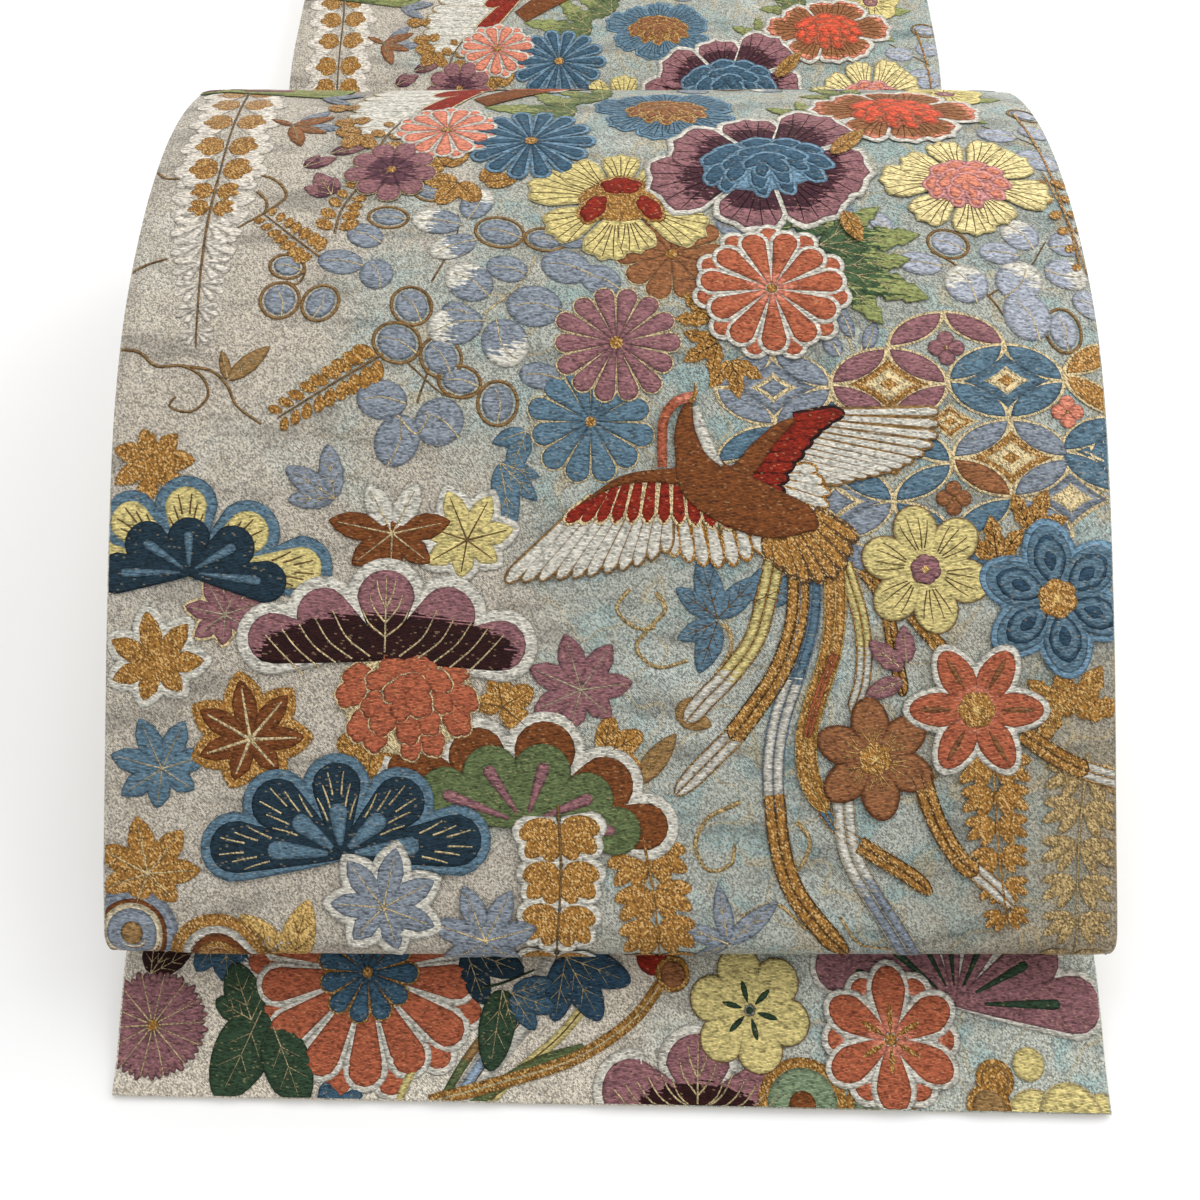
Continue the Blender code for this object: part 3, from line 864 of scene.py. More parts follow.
@dataclass(frozen=True)
class PineBough(Figure):
    """A stylised pine bough: nested rows of round lobes fanned out from its foot.

    A lobe is a turn, a reach and a breadth, of which each band loses its inset.
    """

    at: tuple
    lobes: tuple
    bands: tuple
    needles: Thread | None = None
    buds: Thread | None = None
    level: float = 0.0
    turn: float = 0.0
    bud_span: tuple = (0.12, 0.56)
    bud_breadth: float = 0.22
    feathered: bool = False

    def weave(self, weaver: Weaver) -> None:
        """Weaves each band's lobes, then needles that spread in each lobe, and buds.

        A silk that turns does so at a half ellipse about the foot, less wide than the bough.

        Args:
            weaver: Gathers the areas.
        """
        spot = Spot(*self.at, self.turn, self.level)
        widest, tallest = max(lobe[1] for lobe in self.lobes), self.lobes[0][1]
        for place, (angle, reach, breadth) in enumerate(self.lobes):
            lobe = spot.raised(0.1 * place, angle)
            for step, band in enumerate(self.bands):
                bare = band.root if abs(angle) > 70 else 0.0
                weaver.wedge(lobe.raised(1.4 * step), bare * reach, reach - band.inset,
                             breadth - 2 * band.inset, band.thread, 0.5 if bare else band.neck,
                             0.9, rows=14)
                if band.thread.shade:
                    patch = weaver.patches[-1]
                    share = np.hypot((patch.across - self.at[0]) / (1.2 * widest),
                                     (patch.along - self.at[1]) / (0.61 * tallest))
                    patch.mix = np.clip((share / band.thread.turn_at - 1) / 0.25 + 0.5, 0, 1)
            top = lobe.raised(1.4 * len(self.bands) + 0.6)
            inner, room = reach - self.bands[-1].inset, breadth - 2 * self.bands[-1].inset
            if self.needles and not (self.feathered and place):
                self.weave_needles(weaver, top, inner, room)
            if self.buds:
                low, high = self.bud_span
                weaver.wedge(top.raised(0.5), low * inner, high * inner,
                             self.bud_breadth * breadth, self.buds, 0.25, 0.8)
        for side in (-1, 1) if self.feathered else ():
            for place in (4.5, 10, 15, 20, 25):
                path = np.array([(place, -0.009 * place ** 2),
                                 (place + 7.2, 6.6 - 0.2 * place),
                                 (place + 11.5, 15.4 - 0.36 * place)]) * (side, 1)
                weaver.ribbon(spot.raised(4.5), path * widest / 47, 0.6, self.needles, 0.3, 2.5)

    def weave_needles(self, weaver: Weaver, top: Spot, reach: float, breadth: float) -> None:
        """Weaves a lobe's needles, as a feather's barbs about a rib or as rays from its bud.

        Args:
            weaver: Gathers the areas.
            top: The lobe's spot, above its bands.
            reach: How far the inner band reaches.
            breadth: The inner band's breadth.
        """
        paths = [((0, 0.04 * reach), (0, 0.9 * reach))] if self.feathered else []
        for side in (-1, 1):
            for barb in (0, 0.5, 1.0):
                low = reach - (1.15 - 0.5 * barb) * breadth
                bow = side * breadth * (0.4 - 0.24 * barb)
                start = 0.05 if self.feathered else 0.55
                paths.append(((start * bow, low), (0.75 * bow, low + 0.24 * breadth),
                              (bow, low + 0.46 * breadth)))
        for path in paths:
            weaver.ribbon(top, path, 0.6, self.needles, 0.3, 2.5)


class LeafKind(Enum):
    """The round leaves' kinds."""

    PLAIN = "plain"
    RINGED = "ringed"
    TIPPED = "tipped"


@dataclass(frozen=True)
class RoundLeaf(Figure):
    """A round leaf with a midrib, plain, ringed with gilt, or with a pale tip."""

    at: tuple
    length: float
    breadth: float
    turn: float
    kind: LeafKind = LeafKind.PLAIN
    silk: Silk = Silk.LAVENDER

    def weave(self, weaver: Weaver) -> None:
        """Weaves the leaf, its ring where it has one, and its midrib.

        Args:
            weaver: Gathers the areas.
        """
        spot = Spot(*self.at, self.turn)
        thread, inset = Thread(self.silk), 0.0
        if self.kind is LeafKind.TIPPED:
            thread = Thread(self.silk, Silk.WHITE, 0.6, 0.6)
        if self.kind is LeafKind.RINGED:
            inset = 1.2
            angle = np.linspace(0, 2 * np.pi, 15)
            path = np.stack([(self.breadth / 2 + 0.7) * np.sin(angle),
                             (self.length / 2 + 0.7) * np.cos(angle)], 1)
            weaver.ribbon(spot, path, 1.1, OCHRE, step=1.6)
        weaver.oval(spot.raised(1), self.length - inset, self.breadth - inset, thread)
        bow = 0.07 * self.breadth
        rib = ((0, -0.52 * self.length), (bow, 0), (-bow, 0.36 * self.length))
        weaver.ribbon(spot.raised(2), rib, 0.55, CREAM_GILT, 0.4, 2.5)


ALL_ROUND = (45, 135, 225, 315)


@dataclass(frozen=True)
class LinkedCircle(Figure):
    """One circle of the linked-circles pattern: lenses at some of its four bearings, on wider
    ones of pale gilt, about nested stars.
    """

    at: tuple
    thread: Thread
    lenses: tuple = ALL_ROUND
    stars: tuple = ()
    level: float = 0.0
    size: tuple = (18.2, 12.1)

    def weave(self, weaver: Weaver) -> None:
        """Weaves the lenses and the stars, each star smaller than the last.

        Args:
            weaver: Gathers the areas.
        """
        spot = Spot(*self.at, 0, self.level)
        for bearing in self.lenses:
            side = (1 if bearing < 180 else -1, 1 if bearing in (45, 315) else -1)
            weaver.lens(spot, self.size, side, CREAM_GILT, -0.03)
            weaver.lens(spot.raised(0.9), self.size, side, self.thread, 0.035)
        for place, (share, thread) in enumerate(self.stars):
            weaver.star(spot.raised(0.2 + 0.7 * place), share * self.size[0],
                        share * self.size[1], thread)


@dataclass(frozen=True)
class Spray(Figure):
    """Leaves or fan-shaped blossoms in pairs along a stem, the last smaller by `dwindle`.

    `rays` are the petals of a blossom, which lie on a fringe of the same shape or on none, up to
    `gilt_until` of the stem and over `gilt_reach` of the fringe.
    """

    path: tuple
    pairs: int
    blossom: tuple
    thread: Thread = GILT
    stem: Thread = OCHRE
    splay: float = 60.0
    level: float = 0.0
    dwindle: float = 0.45
    rays: tuple = (0,)
    fringe: Thread | None = None
    gilt_until: float = 1.1
    gilt_reach: float = 0.95

    def weave(self, weaver: Weaver) -> None:
        """Weaves the stem, and on each side of it blossoms turned towards its end.

        Args:
            weaver: Gathers the areas.
        """
        weaver.ribbon(Spot(0, 0, 0, self.level + 4), self.path, 0.9, self.stem, 0.4)
        for place, heading, share in pairs_along(self.path, self.pairs):
            size = 1 - self.dwindle * share
            length, breadth = self.blossom[0] * size, self.blossom[1] * size
            for side in (-1, 1):
                turned = Spot(*place, heading + side * self.splay, self.level)
                for ray in self.rays if self.fringe else ():
                    weaver.wedge(turned.raised(0.05 * ray, 30 * ray), 0.6,
                                 length * (1 - 0.1 * ray * ray), 0.58 * breadth, self.fringe,
                                 0.3, cap=1.1, rows=8)
                for ray in self.rays if share <= self.gilt_until else ():
                    weaver.petal(turned.raised(1.2 + 0.05 * ray, 27 * ray),
                                 length * self.gilt_reach * (1 - 0.14 * ray * ray),
                                 1.26 * breadth / len(self.rays), self.thread, 1.2, 1.15, 0.5,
                                 rows=8)


def pairs_along(path: tuple, count: int) -> list[tuple]:
    """Evenly spaced places on a smooth path.

    Args:
        path: The path's places.
        count: How many places.

    Returns:
        Each place, its heading in degrees and its share of the way.
    """
    line = smooth_line(path, 0.5)
    places = []
    for share in (np.arange(count) + 0.4) / count:
        here = int(share * (len(line) - 1))
        ahead = line[min(len(line) - 1, here + 3)] - line[here]
        places.append((tuple(line[here]), math.degrees(math.atan2(-ahead[0], ahead[1])), share))
    return places


def shares_of(path: tuple, count: int) -> Grid:
    """Places at equal shares of a smooth path, one a row.

    Args:
        path: The path's places.
        count: How many places.

    Returns:
        The places, one a row.
    """
    line = smooth_line(path, 0.5)
    place = np.linspace(0, len(line) - 1, count)
    return np.stack([np.interp(place, np.arange(len(line)), line[:, axis]) for axis in (0, 1)], 1)


@dataclass(frozen=True)
class Scroll(Figure):
    """A thin tendril or stem."""

    path: tuple
    breadth: float = 0.7
    thread: Thread = OCHRE
    level: float = 0.0
    taper: float = 0.3

    def weave(self, weaver: Weaver) -> None:
        """Weaves the stem."""
        weaver.ribbon(Spot(0, 0, 0, self.level), self.path, self.breadth, self.thread, self.taper)


@dataclass(frozen=True)
class Plume(Figure):
    """A long tail feather: two bands side by side with gilt lines between and beside them."""

    path: tuple
    breadth: float
    thread: Thread = GILT
    edge: Thread = DARK_GILT
    level: float = 0.0
    close_over: float = 0.1

    def weave(self, weaver: Weaver) -> None:
        """Weaves the feather's two bands and the lines, closing in over its last part.

        Args:
            weaver: Gathers the areas.
        """
        line = smooth_line(self.path, 2.0)
        tangent = np.gradient(line, axis=0)
        tangent /= np.linalg.norm(tangent, axis=1, keepdims=True)
        share = np.linspace(0, 1, len(line))[:, None]
        late = np.clip((share - 1 + self.close_over) / self.close_over, 0, 1)
        close = np.sqrt(1 - 0.97 * late ** 2)
        aside = np.stack([-tangent[:, 1], tangent[:, 0]], 1) * self.breadth * close
        spot = Spot(0, 0, 0, self.level)
        for side in (-0.25, 0.25):
            weaver.ribbon(spot.raised(1), line + aside * side, 0.46 * self.breadth, self.thread,
                          0.0, 2.2, close)
        for side in (-0.5, 0.0, 0.5):
            weaver.ribbon(spot.raised(2), line + aside * side, 0.5, self.edge, 0.2, 2.2)


@dataclass(frozen=True)
class Feathers(Figure):
    """A row of feathers from places on one line to the same shares of another, as a wing's.

    Each lies on the last with a dark line along its side, so no ground shows between them.
    """

    roots: tuple
    tips: tuple
    count: int
    breadth: float
    thread: Thread
    line: Thread
    level: float = 0.0
    rim: float = 0.4

    def weave(self, weaver: Weaver) -> None:
        """Weaves the feathers.

        Args:
            weaver: Gathers the areas.
        """
        ends = zip(shares_of(self.roots, self.count), shares_of(self.tips, self.count))
        for feather, (root, tip) in enumerate(ends):
            length = float(np.linalg.norm(tip - root))
            turn = math.degrees(math.atan2(root[0] - tip[0], tip[1] - root[1]))
            spot = Spot(*root, turn, self.level + 0.25 * feather)
            weaver.wedge(spot, 0, length, self.breadth, self.line, 0.7, grow=self.rim, cap=2.0)
            weaver.wedge(spot.raised(0.2), 0, length, self.breadth, self.thread, 0.7, cap=2.0)


@dataclass(frozen=True)
class Area(Figure):
    """A plain woven area between two smooth sides, each given from its foot to its top."""

    left: tuple
    right: tuple
    thread: Thread
    level: float = 0.0

    def weave(self, weaver: Weaver) -> None:
        """Weaves the area as straight rows from one side to the other.

        Args:
            weaver: Gathers the areas.
        """
        left, right = shares_of(self.left, 24), shares_of(self.right, 24)
        v = eased(9).T
        x, y = (left[:, axis:axis + 1] * (1 - v) + right[:, axis:axis + 1] * v for axis in (0, 1))
        breadth = np.linalg.norm(right - left, axis=1)[:, None]
        weaver.add(Spot(0, 0, 0, self.level), x, y, np.minimum(v, 1 - v) * breadth,
                   np.linspace(0, 1, 24)[:, None], self.thread)


@dataclass(frozen=True)
class Rings(Figure):
    """Nested rings, given as shares of the radius and threads, such as a drum's."""

    at: tuple
    radius: float
    rings: tuple
    level: float = 0.0

    def weave(self, weaver: Weaver) -> None:
        """Weaves one round area on another, each smaller.

        Args:
            weaver: Gathers the areas.
        """
        for place, (share, thread) in enumerate(self.rings):
            size = 2 * self.radius * share
            weaver.oval(Spot(*self.at, 0, self.level + place), size, size, thread, around=32)


def way(*numbers: float) -> tuple:
    """Places from their numbers, across and along by turns."""
    return tuple(zip(numbers[::2], numbers[1::2]))


# ---------------- the pattern, in mm on the cloth, each figure's values in its fields' order
MAROON_TO_MAUVE = Thread(Silk.MAROON, Silk.MAUVE, 0.7, 0.22)
DEEP_MAUVE = Thread(Silk.PLUM, Silk.MAUVE, 0.45, 0.5)
DARK_TO_MAUVE = Thread(Silk.GARNET, Silk.MAUVE, 0.6, 0.6)
FADING_GREEN = Thread(Silk.MOSS, Silk.OLIVE, 0.55, 0.9)
LEAF_GREEN = Thread(Silk.GREEN, Silk.OLIVE, 0.5, 0.6)
SALMON_CORAL = Thread(Silk.SALMON, Silk.CORAL, 0.2, 0.5)
BUD = ((0, 1),)
FAN = (-1, 0, 1)
CHRYSANTHEMUMS = (
    Flower((-57, 686), 16.2, 11, SALMON, WHITE, 1.2, 16, 9, 0.74, drop_reach=1.1),
    Flower((-74, 662), 15.5, 9, DEEP_MAUVE, CREAM_GILT, 0.3, 20, 8),
    Flower((-27, 678), 20.9, 14, DEEP_BLUE, SKY, 1.4, 13, 8, 0.64),
    Flower((20, 623), 17.9, 10, TAN, CREAM_GILT, 0.4, 18),
    Flower((51.7, 609), 22.1, 11, SALMON_CORAL, WHITE, 1.5, 16, 14, 0.78, 1, GILT, 0.08, 1.1),
    Flower((2, 590), 19.9, 14, MAUVE, CREAM_GILT, 0.5, 13, 4, 0.9),
    Flower((-6, 564), 19.4, 12, BLUE, CREAM_GILT, 0.5, 15, 0, 0.91, 1, GILT, 0.08),
    Flower((-58, 778), 18, 12, CORAL, WHITE, 1.1, 15, 4, 0.78, drop_reach=1.1),
    Flower((96, 812), 20.4, 14, DEEP_BLUE, SKY, 1.4, 13, 4, 0.64),
    Flower((-118, 826), 21.3, 14, MAUVE, CREAM_GILT, 0.3, 13, 4, 0.94),
    Flower((20, 846), 19.4, 12, SALMON, WHITE, 0.9, 15, 8, 0.82),
)
TAIL_CHRYSANTHEMUMS = (
    Flower((-144, 22), 17, 44, MAUVE, MAUVE, 0.1, 4, 2, 1.74, 4, rays=14),
    Flower((-77, 39), 35.1, 13, CORAL, WHITE, 1.9, 15, 3, 0.8, drop_reach=1.1),
    Flower((-77, 39), 15.5, 11, DEEP_BLUE, GILT, 0.55, 7, 10, 0.86),
)
PEONIES = (
    Peony((21, 701), 25, BLUE, SKY, TAN, GILT, 9, DEEP_BLUE, 0, 2, 0.6, 7, 1, 1.3, 0.8, 0.7),
    Peony((4, 646), 26, YELLOW, PALE_YELLOW, RED, GILT, 9, OCHRE, 0, 6, 0.52, 3, 1.2, 0.5, 0.92,
        0.78),
    Peony((53, 664), 35.5, DARK_TO_MAUVE, WHITE, DEEP_BLUE, SKY, 7, MAROON, 10, 10, 0.6, 8, 1.12,
        2.4, 0.8, 0.72),
    Peony((103, 700), 28, Thread(Silk.TAN, Silk.SALMON, 0.9, 0.7), WHITE, ORANGE, CORAL, 8, BROWN,
        4, 8, 0.6, 8, 1.02, 2.4, 0.78, 0.8),
    Peony((120, 655), 25.5, PALE_YELLOW, YELLOW, SALMON, ROSE, 9, OCHRE, 14, 8, 0.54, 7, 1.1, 0.4,
        0.92, 0.86),
    Peony((40, 778), 32, YELLOW, PALE_YELLOW, RED, GILT, 9, OCHRE, 8, 4, 0.5, 3, 1.2, 0.5),
    Peony((-10, 812), 27, BLUE, SKY, TAN, GILT, 9, DEEP_BLUE, 3, 6),
    Peony((118, 762), 26, DARK_TO_MAUVE, WHITE, DEEP_BLUE, BLUE, 8, OCHRE, 20, 4, rim=1.5),
    Peony((-62, 479), 20, CORAL, CREAM_GILT, CORAL, CREAM_GILT, 0, None, 0, 4, 1, 9, 1.12,
        edging=0.5),
)
MAPLES = (
    Maple((-141, 552), 15, 170, GILT, level=2, vein=None),
    Maple((-139, 489), 16.5, 12, GILT, SEVEN, 0.44, 0, 0, None, 0.8, WHITE, 2.6),
    Maple((-110, 466), 18.5, 10, BROWN, SEVEN, 0.42, 4, 0, CREAM_GILT, 0.8, GILT, 2.8, 1.1),
    Maple((-118, 504), 13, 28, MAUVE, SEVEN, 0.48, 2, 0, CREAM, 0.8, CREAM_GILT, 0.9),
    Maple((-137, 457), 17, 25, BLUE, level=2, vein=CREAM),
    Maple((-141, 425), 18, 12, GILT, level=2),
    Maple((-67, 529), 17.5, 0, BROWN, ((27, 1), (-27, 1), (78, 1.15), (-78, 1.05), (128, 0.9),
        (-128, 0.85), (178, 0.72)), level=5, upper=WHITE),
    Maple((-44, 527), 16.5, 22, YELLOW, SEVEN, 0.48, 4, 0, OCHRE, 0.8, WHITE, 2.2),
    Maple((-9, 481), 18, 16, MAUVE, level=3, vein=CREAM),
    Maple((-69, 415), 18.5, -12, LAVENDER, SEVEN, 0.44, 20, 0, CREAM_GILT, 0.8, WHITE, 2.5),
    Maple((-38, 405), 18, 22, LAVENDER, SEVEN, 0.44, 18),
    Maple((-140, 800), 17, 20, BROWN, SEVEN, 0.48, 2, 0, CREAM, 0.8, GILT, 1.8),
    Maple((-88, 852), 16, -15, YELLOW, SEVEN, 0.48, 4, 0, OCHRE, 0.8, WHITE, 1.4),
    Maple((136, 846), 18, 30, MAUVE, level=2, vein=CREAM),
    Maple((-30, 862), 15, 5, GILT, level=4, vein=None, border=WHITE),
)
WIDE_BOUGH = ((-1, 30, 25), (56, 34.5, 24), (81, 46, 23), (-57, 35, 25), (-85, 47, 23))
PINE_BOUGHS = (
    PineBough((-129, 516), ((4, 31, 20), (48, 35, 19.5), (78, 45, 19), (-53, 32, 20.5),
        (-86, 44, 20)), (Band(0, BLUE, 0.5), Band(3.4, YELLOW, 0.3)), OCHRE, level=4),
    PineBough((-129, 517), ((2, 17, 13.5), (56, 23, 14), (90, 29, 13), (-60, 22, 14),
        (-97, 30, 13)), (Band(0, NAVY),), None, BLUE, 9, 0, (0.1, 0.74)),
    PineBough((-69, 491.5), WIDE_BOUGH, (Band(0, WHITE, 0.4), Band(3.6, MAROON_TO_MAUVE)),
        CREAM_GILT, level=8, feathered=True),
    PineBough((-26, 440), ((65, 49, 24), (35, 37.5, 24), (-15, 35.5, 25.5), (-64, 39, 24.5),
        (-91, 47, 21)), (Band(0, WHITE, 0.5), Band(3.2, BROWN)), level=4),
    PineBough((-26, 440), ((69, 34.5, 17), (34, 27.5, 17.5), (-18, 25.5, 18), (-68, 28.5, 17),
        (-94, 35.5, 15)), (Band(0, GREEN),), None, MAUVE, 10, 0, (0.15, 0.78)),
    PineBough((-82, 431), ((4, 31, 21), (52, 35.5, 22), (86, 43, 22), (-48, 34.5, 22),
        (-83, 46, 22)), (Band(0, BLUE), Band(2.9, NAVY)), CREAM_GILT, BLUE, 15, 0, (0.1, 0.56),
        0.27),
    PineBough((-143, 727), WIDE_BOUGH, (Band(0, LEAF_GREEN), Band(3, OLIVE)), CREAM_GILT, MAUVE, 6,
        -2),
    Leaf((-106, 718), 16, -80, LAVENDER, TRIPLE, 0.4, 5, 0, CREAM),
    PineBough((-96, 768), WIDE_BOUGH, (Band(0, WHITE), Band(3, GREEN)), CREAM_GILT, MAUVE, 10, 10),
    PineBough((70, 832), WIDE_BOUGH, (Band(0, BLUE), Band(3, YELLOW)), OCHRE, BLUE, 8, -8),
)
TAIL_BOUGHS = (
    PineBough((27, 0), ((-2, 24.5, 26), (78, 33, 26), (-80, 32, 25)),
        (Band(0, WHITE, 0.5), Band(3, Thread(Silk.MAROON, Silk.MAUVE, 0.46, 0.22))), CREAM_GILT,
        level=6, feathered=True),
    PineBough((109, 31), ((74, 47, 19), (50, 36, 17), (26, 30, 13), (0, 28, 12), (-30, 30, 14),
        (-64, 39, 19), (-90, 48, 21)), (Band(0, WHITE, 0, 0.15), Band(1.9, MAUVE, 0, 0.1)), None,
        DARK_GREEN, 2, 0, (0.2, 0.72), 0.15),
)
BLOSSOMS = (
    Flower((97, 518), 20, 6, YELLOW, OCHRE, 0.4, 14, 8, 0.73, 1.2, MAUVE, 0.24, 0, 0, OCHRE,
        (0.32, 0.84)),
    Flower((137, 509), 23, 6, BLUE, SKY, 2, 10, 10, 0.65, 1.6, GILT, 0.27,
        inner=((0.96, INK), (0.82, BLUE), (0.4, INK))),
    Flower((112, 475), 20.5, 6, SALMON_CORAL, WHITE, 2.1, 30, 16, 0.57, 2, GILT, 0.28, 0, 0, None,
        (0.3, 0.72), ((0.76, TAN),), 0.24, 0.26),
    Flower((81, 460), 18.5, 6, TAN, BROWN, 0.6, 8, 14, 0.65, 1.5, GILT, 0.28, 0, 0, PALE_GILT,
        (0.3, 0.62)),
    Flower((-24, 742), 17, 6, CORAL, WHITE, 1.6, 10, 6, 0.81, 1.1, GILT, 0.27,
        inner=((0.8, TAN), (0.62, CORAL))),
    Flower((126, 722), 15, 5, YELLOW, None, 0.9, 0, 4, 0.89, 1.1, MAUVE, 0.26, lines=OCHRE),
    Flower((-62, 818), 17, 6, BLUE, PALE_BLUE, 1.4, 0, 8, 0.81, 1.1, GILT, 0.24,
        inner=((0.9, DEEP_BLUE), (0.66, BLUE))),
)
TAIL_BLOSSOMS = (
    Flower((44, 28.5), 19, 6, YELLOW, OCHRE, 0.3, 14, 12, 0.8, 1, DARK_GREEN, 0.06, 0, 0, None,
        (0.3, 0.72), ((0.5, DARK_GREEN),), 0.28, -0.05),
    Flower((88, 20.5), 21.5, 6, SALMON_CORAL, WHITE, 1.9, 0, 16, 0.55, 1.4, GILT, 0.09, 0.93, 0,
        None, (0.3, 0.72), ((0.56, GILT),), 0.3, -0.06),
)
CREAM_STAR, BLUE_STAR = (0.94, CREAM_GILT), (0.74, BLUE)
GILT_STARS = ((0.94, CREAM_GILT), (0.7, GILT), (0.46, CREAM_GILT), (0.18, GILT))
CIRCLES = tuple(LinkedCircle(*row) for row in (
    ((51, 575), LAVENDER, ALL_ROUND, ((0.88, CREAM_GILT), (0.74, LAVENDER), (0.42, CREAM_GILT),
        (0.26, LAVENDER))),
    ((160, 579), GILT, (225, 315), (), 3), ((105.5, 588.5), MAUVE, (45, 315)),
    ((124, 552.5), LAVENDER, (45, 135, 315), GILT_STARS, 1), ((124, 552.5), TAN, (225,), (), 3),
    ((87.6, 551), BLUE, (45, 135, 225), (), 1),
    ((157.5, 554.5), BLUE, ALL_ROUND, (CREAM_STAR, BLUE_STAR), 1),
    ((87.6, 527), LAVENDER, (315, 225)), ((87.6, 527), BLUE, (45, 135)),
    ((124, 528), BLUE, (315, 225)), ((124, 528), LAVENDER, (45,)), ((51, 551), BLUE, (45, 315)),
    ((51, 551), LAVENDER, (135,)), ((87, 576), MAUVE, ALL_ROUND, GILT_STARS, 2),
    ((123.5, 577), BLUE, ALL_ROUND, (CREAM_STAR, BLUE_STAR, (0.4, CREAM_GILT), (0.18, GILT)), 2),
    ((105.5, 564), BLUE, (), ((0.5, CREAM_GILT), (0.4, GILT), (0.26, CREAM_GILT), (0.14, GILT))),
    ((69.6, 539), BLUE, (), ((0.9, CREAM_GILT), (0.78, LAVENDER), (0.5, CREAM_GILT),
        (0.34, LAVENDER))),
    ((69, 564), BLUE, (), ((0.7, CREAM_GILT), (0.56, BLUE), (0.3, CREAM_GILT))),
    ((142, 540), BLUE, (), ((0.8, CREAM_GILT), (0.66, LAVENDER), (0.4, CREAM_GILT))),
    ((-128, 866), MAUVE, ALL_ROUND, GILT_STARS), ((60, 868), BLUE, (45, 315)),
)) + (
    Flower((105.5, 588), 5.8, 4, MAUVE, None, 0.9, 0, 1, 0.6),
    Flower((142, 567), 5.3, 4, SALMON, None, 0.9, 0, 1, 0.6),
    Flower((106, 540), 5.5, 4, TAN, None, 0.9, 0, 1, 0.6),
    Flower((88, 551), 3.7, 4, GILT, None, 0.9, 0, 3, 0.6),
)
PLAIN, RINGED, TIPPED = LeafKind
LEAVES = tuple(RoundLeaf((u, s), length, breadth, turn, kind,
                         Silk.LILAC if u > 85 and s > 590 else Silk.LAVENDER)
               for u, s, length, breadth, turn, kind in (
    (-104, 618, 10, 8, 70, RINGED), (-105, 605, 12, 11, 10, RINGED),
    (-92, 604, 12, 10, -20, RINGED), (-80, 631, 13, 10, 60, PLAIN), (-87, 620, 15, 10, 78, PLAIN),
    (-75, 615, 12, 11, 15, PLAIN), (-73, 639, 12, 8, 80, RINGED), (-57, 637, 17, 11, 78, TIPPED),
    (-44, 645, 15, 11, -20, TIPPED), (-51, 626, 16, 10, 110, TIPPED),
    (-36, 632, 15, 11, 70, RINGED), (-33, 617, 14, 10, 70, PLAIN), (-45, 612, 17, 14, 50, TIPPED),
    (-14, 618, 17, 13, 70, PLAIN), (-24, 603, 18, 15, 80, PLAIN), (-49, 596, 18, 14, 100, TIPPED),
    (-33, 590, 17, 15, 200, TIPPED), (-63, 603, 13, 11, 30, RINGED),
    (-67, 590, 14, 12, 60, RINGED), (-53, 585, 13, 11, 30, RINGED), (-47, 577, 12, 9, 75, RINGED),
    (-71, 571, 16, 13, 80, PLAIN), (-66, 558, 17, 14, -20, PLAIN), (-53, 564, 15, 16, 50, PLAIN),
    (-35, 570, 13, 11, 0, RINGED), (-22, 579, 13, 9, 80, PLAIN), (-3, 613, 14, 11, 60, PLAIN),
    (-59, 651, 12, 8, 80, RINGED), (-21, 629, 12, 8, 80, RINGED), (-49, 601, 9, 7, 80, PLAIN),
    (110, 627, 12, 10, 60, RINGED), (100, 619, 15, 9, 80, PLAIN), (126, 623, 13, 9, 80, PLAIN),
    (134, 631, 14, 12, 30, TIPPED), (150, 628, 15, 11, -70, TIPPED),
    (147, 615, 15, 12, -100, TIPPED), (114, 611, 15, 14, 20, TIPPED),
    (131, 612, 16, 15, -40, TIPPED), (132, 599, 18, 15, 20, PLAIN), (143, 594, 14, 10, 5, RINGED),
    (153, 604, 12, 10, 60, PLAIN), (74, 641, 14, 10, 70, PLAIN), (89, 636, 9, 7, 40, PLAIN),
    (136, 683, 14, 9, 80, PLAIN), (150, 700, 11, 8, 70, RINGED), (150, 686, 12, 9, 80, PLAIN),
    (147, 668, 16, 11, 75, PLAIN), (40, 634, 11, 8, 60, PLAIN), (-13, 630, 12, 9, 70, PLAIN),
    (82, 592, 10, 5, -20, PLAIN), (74, 598, 14, 5, 20, PLAIN), (70, 589, 8, 6, 30, PLAIN),
    (32, 728, 13, 10, 60, PLAIN), (46, 736, 13, 10, 20, RINGED), (60, 730, 13, 10, 70, TIPPED),
    (72, 742, 13, 10, 110, PLAIN), (88, 734, 12, 9, 40, RINGED), (144, 740, 13, 10, 60, PLAIN),
    (-6, 776, 12, 10, 40, PLAIN), (84, 776, 13, 10, 60, TIPPED), (142, 800, 13, 11, 20, RINGED),
    (130, 818, 13, 10, 80, PLAIN), (-30, 836, 13, 11, 50, TIPPED), (50, 808, 12, 10, 60, RINGED),
))
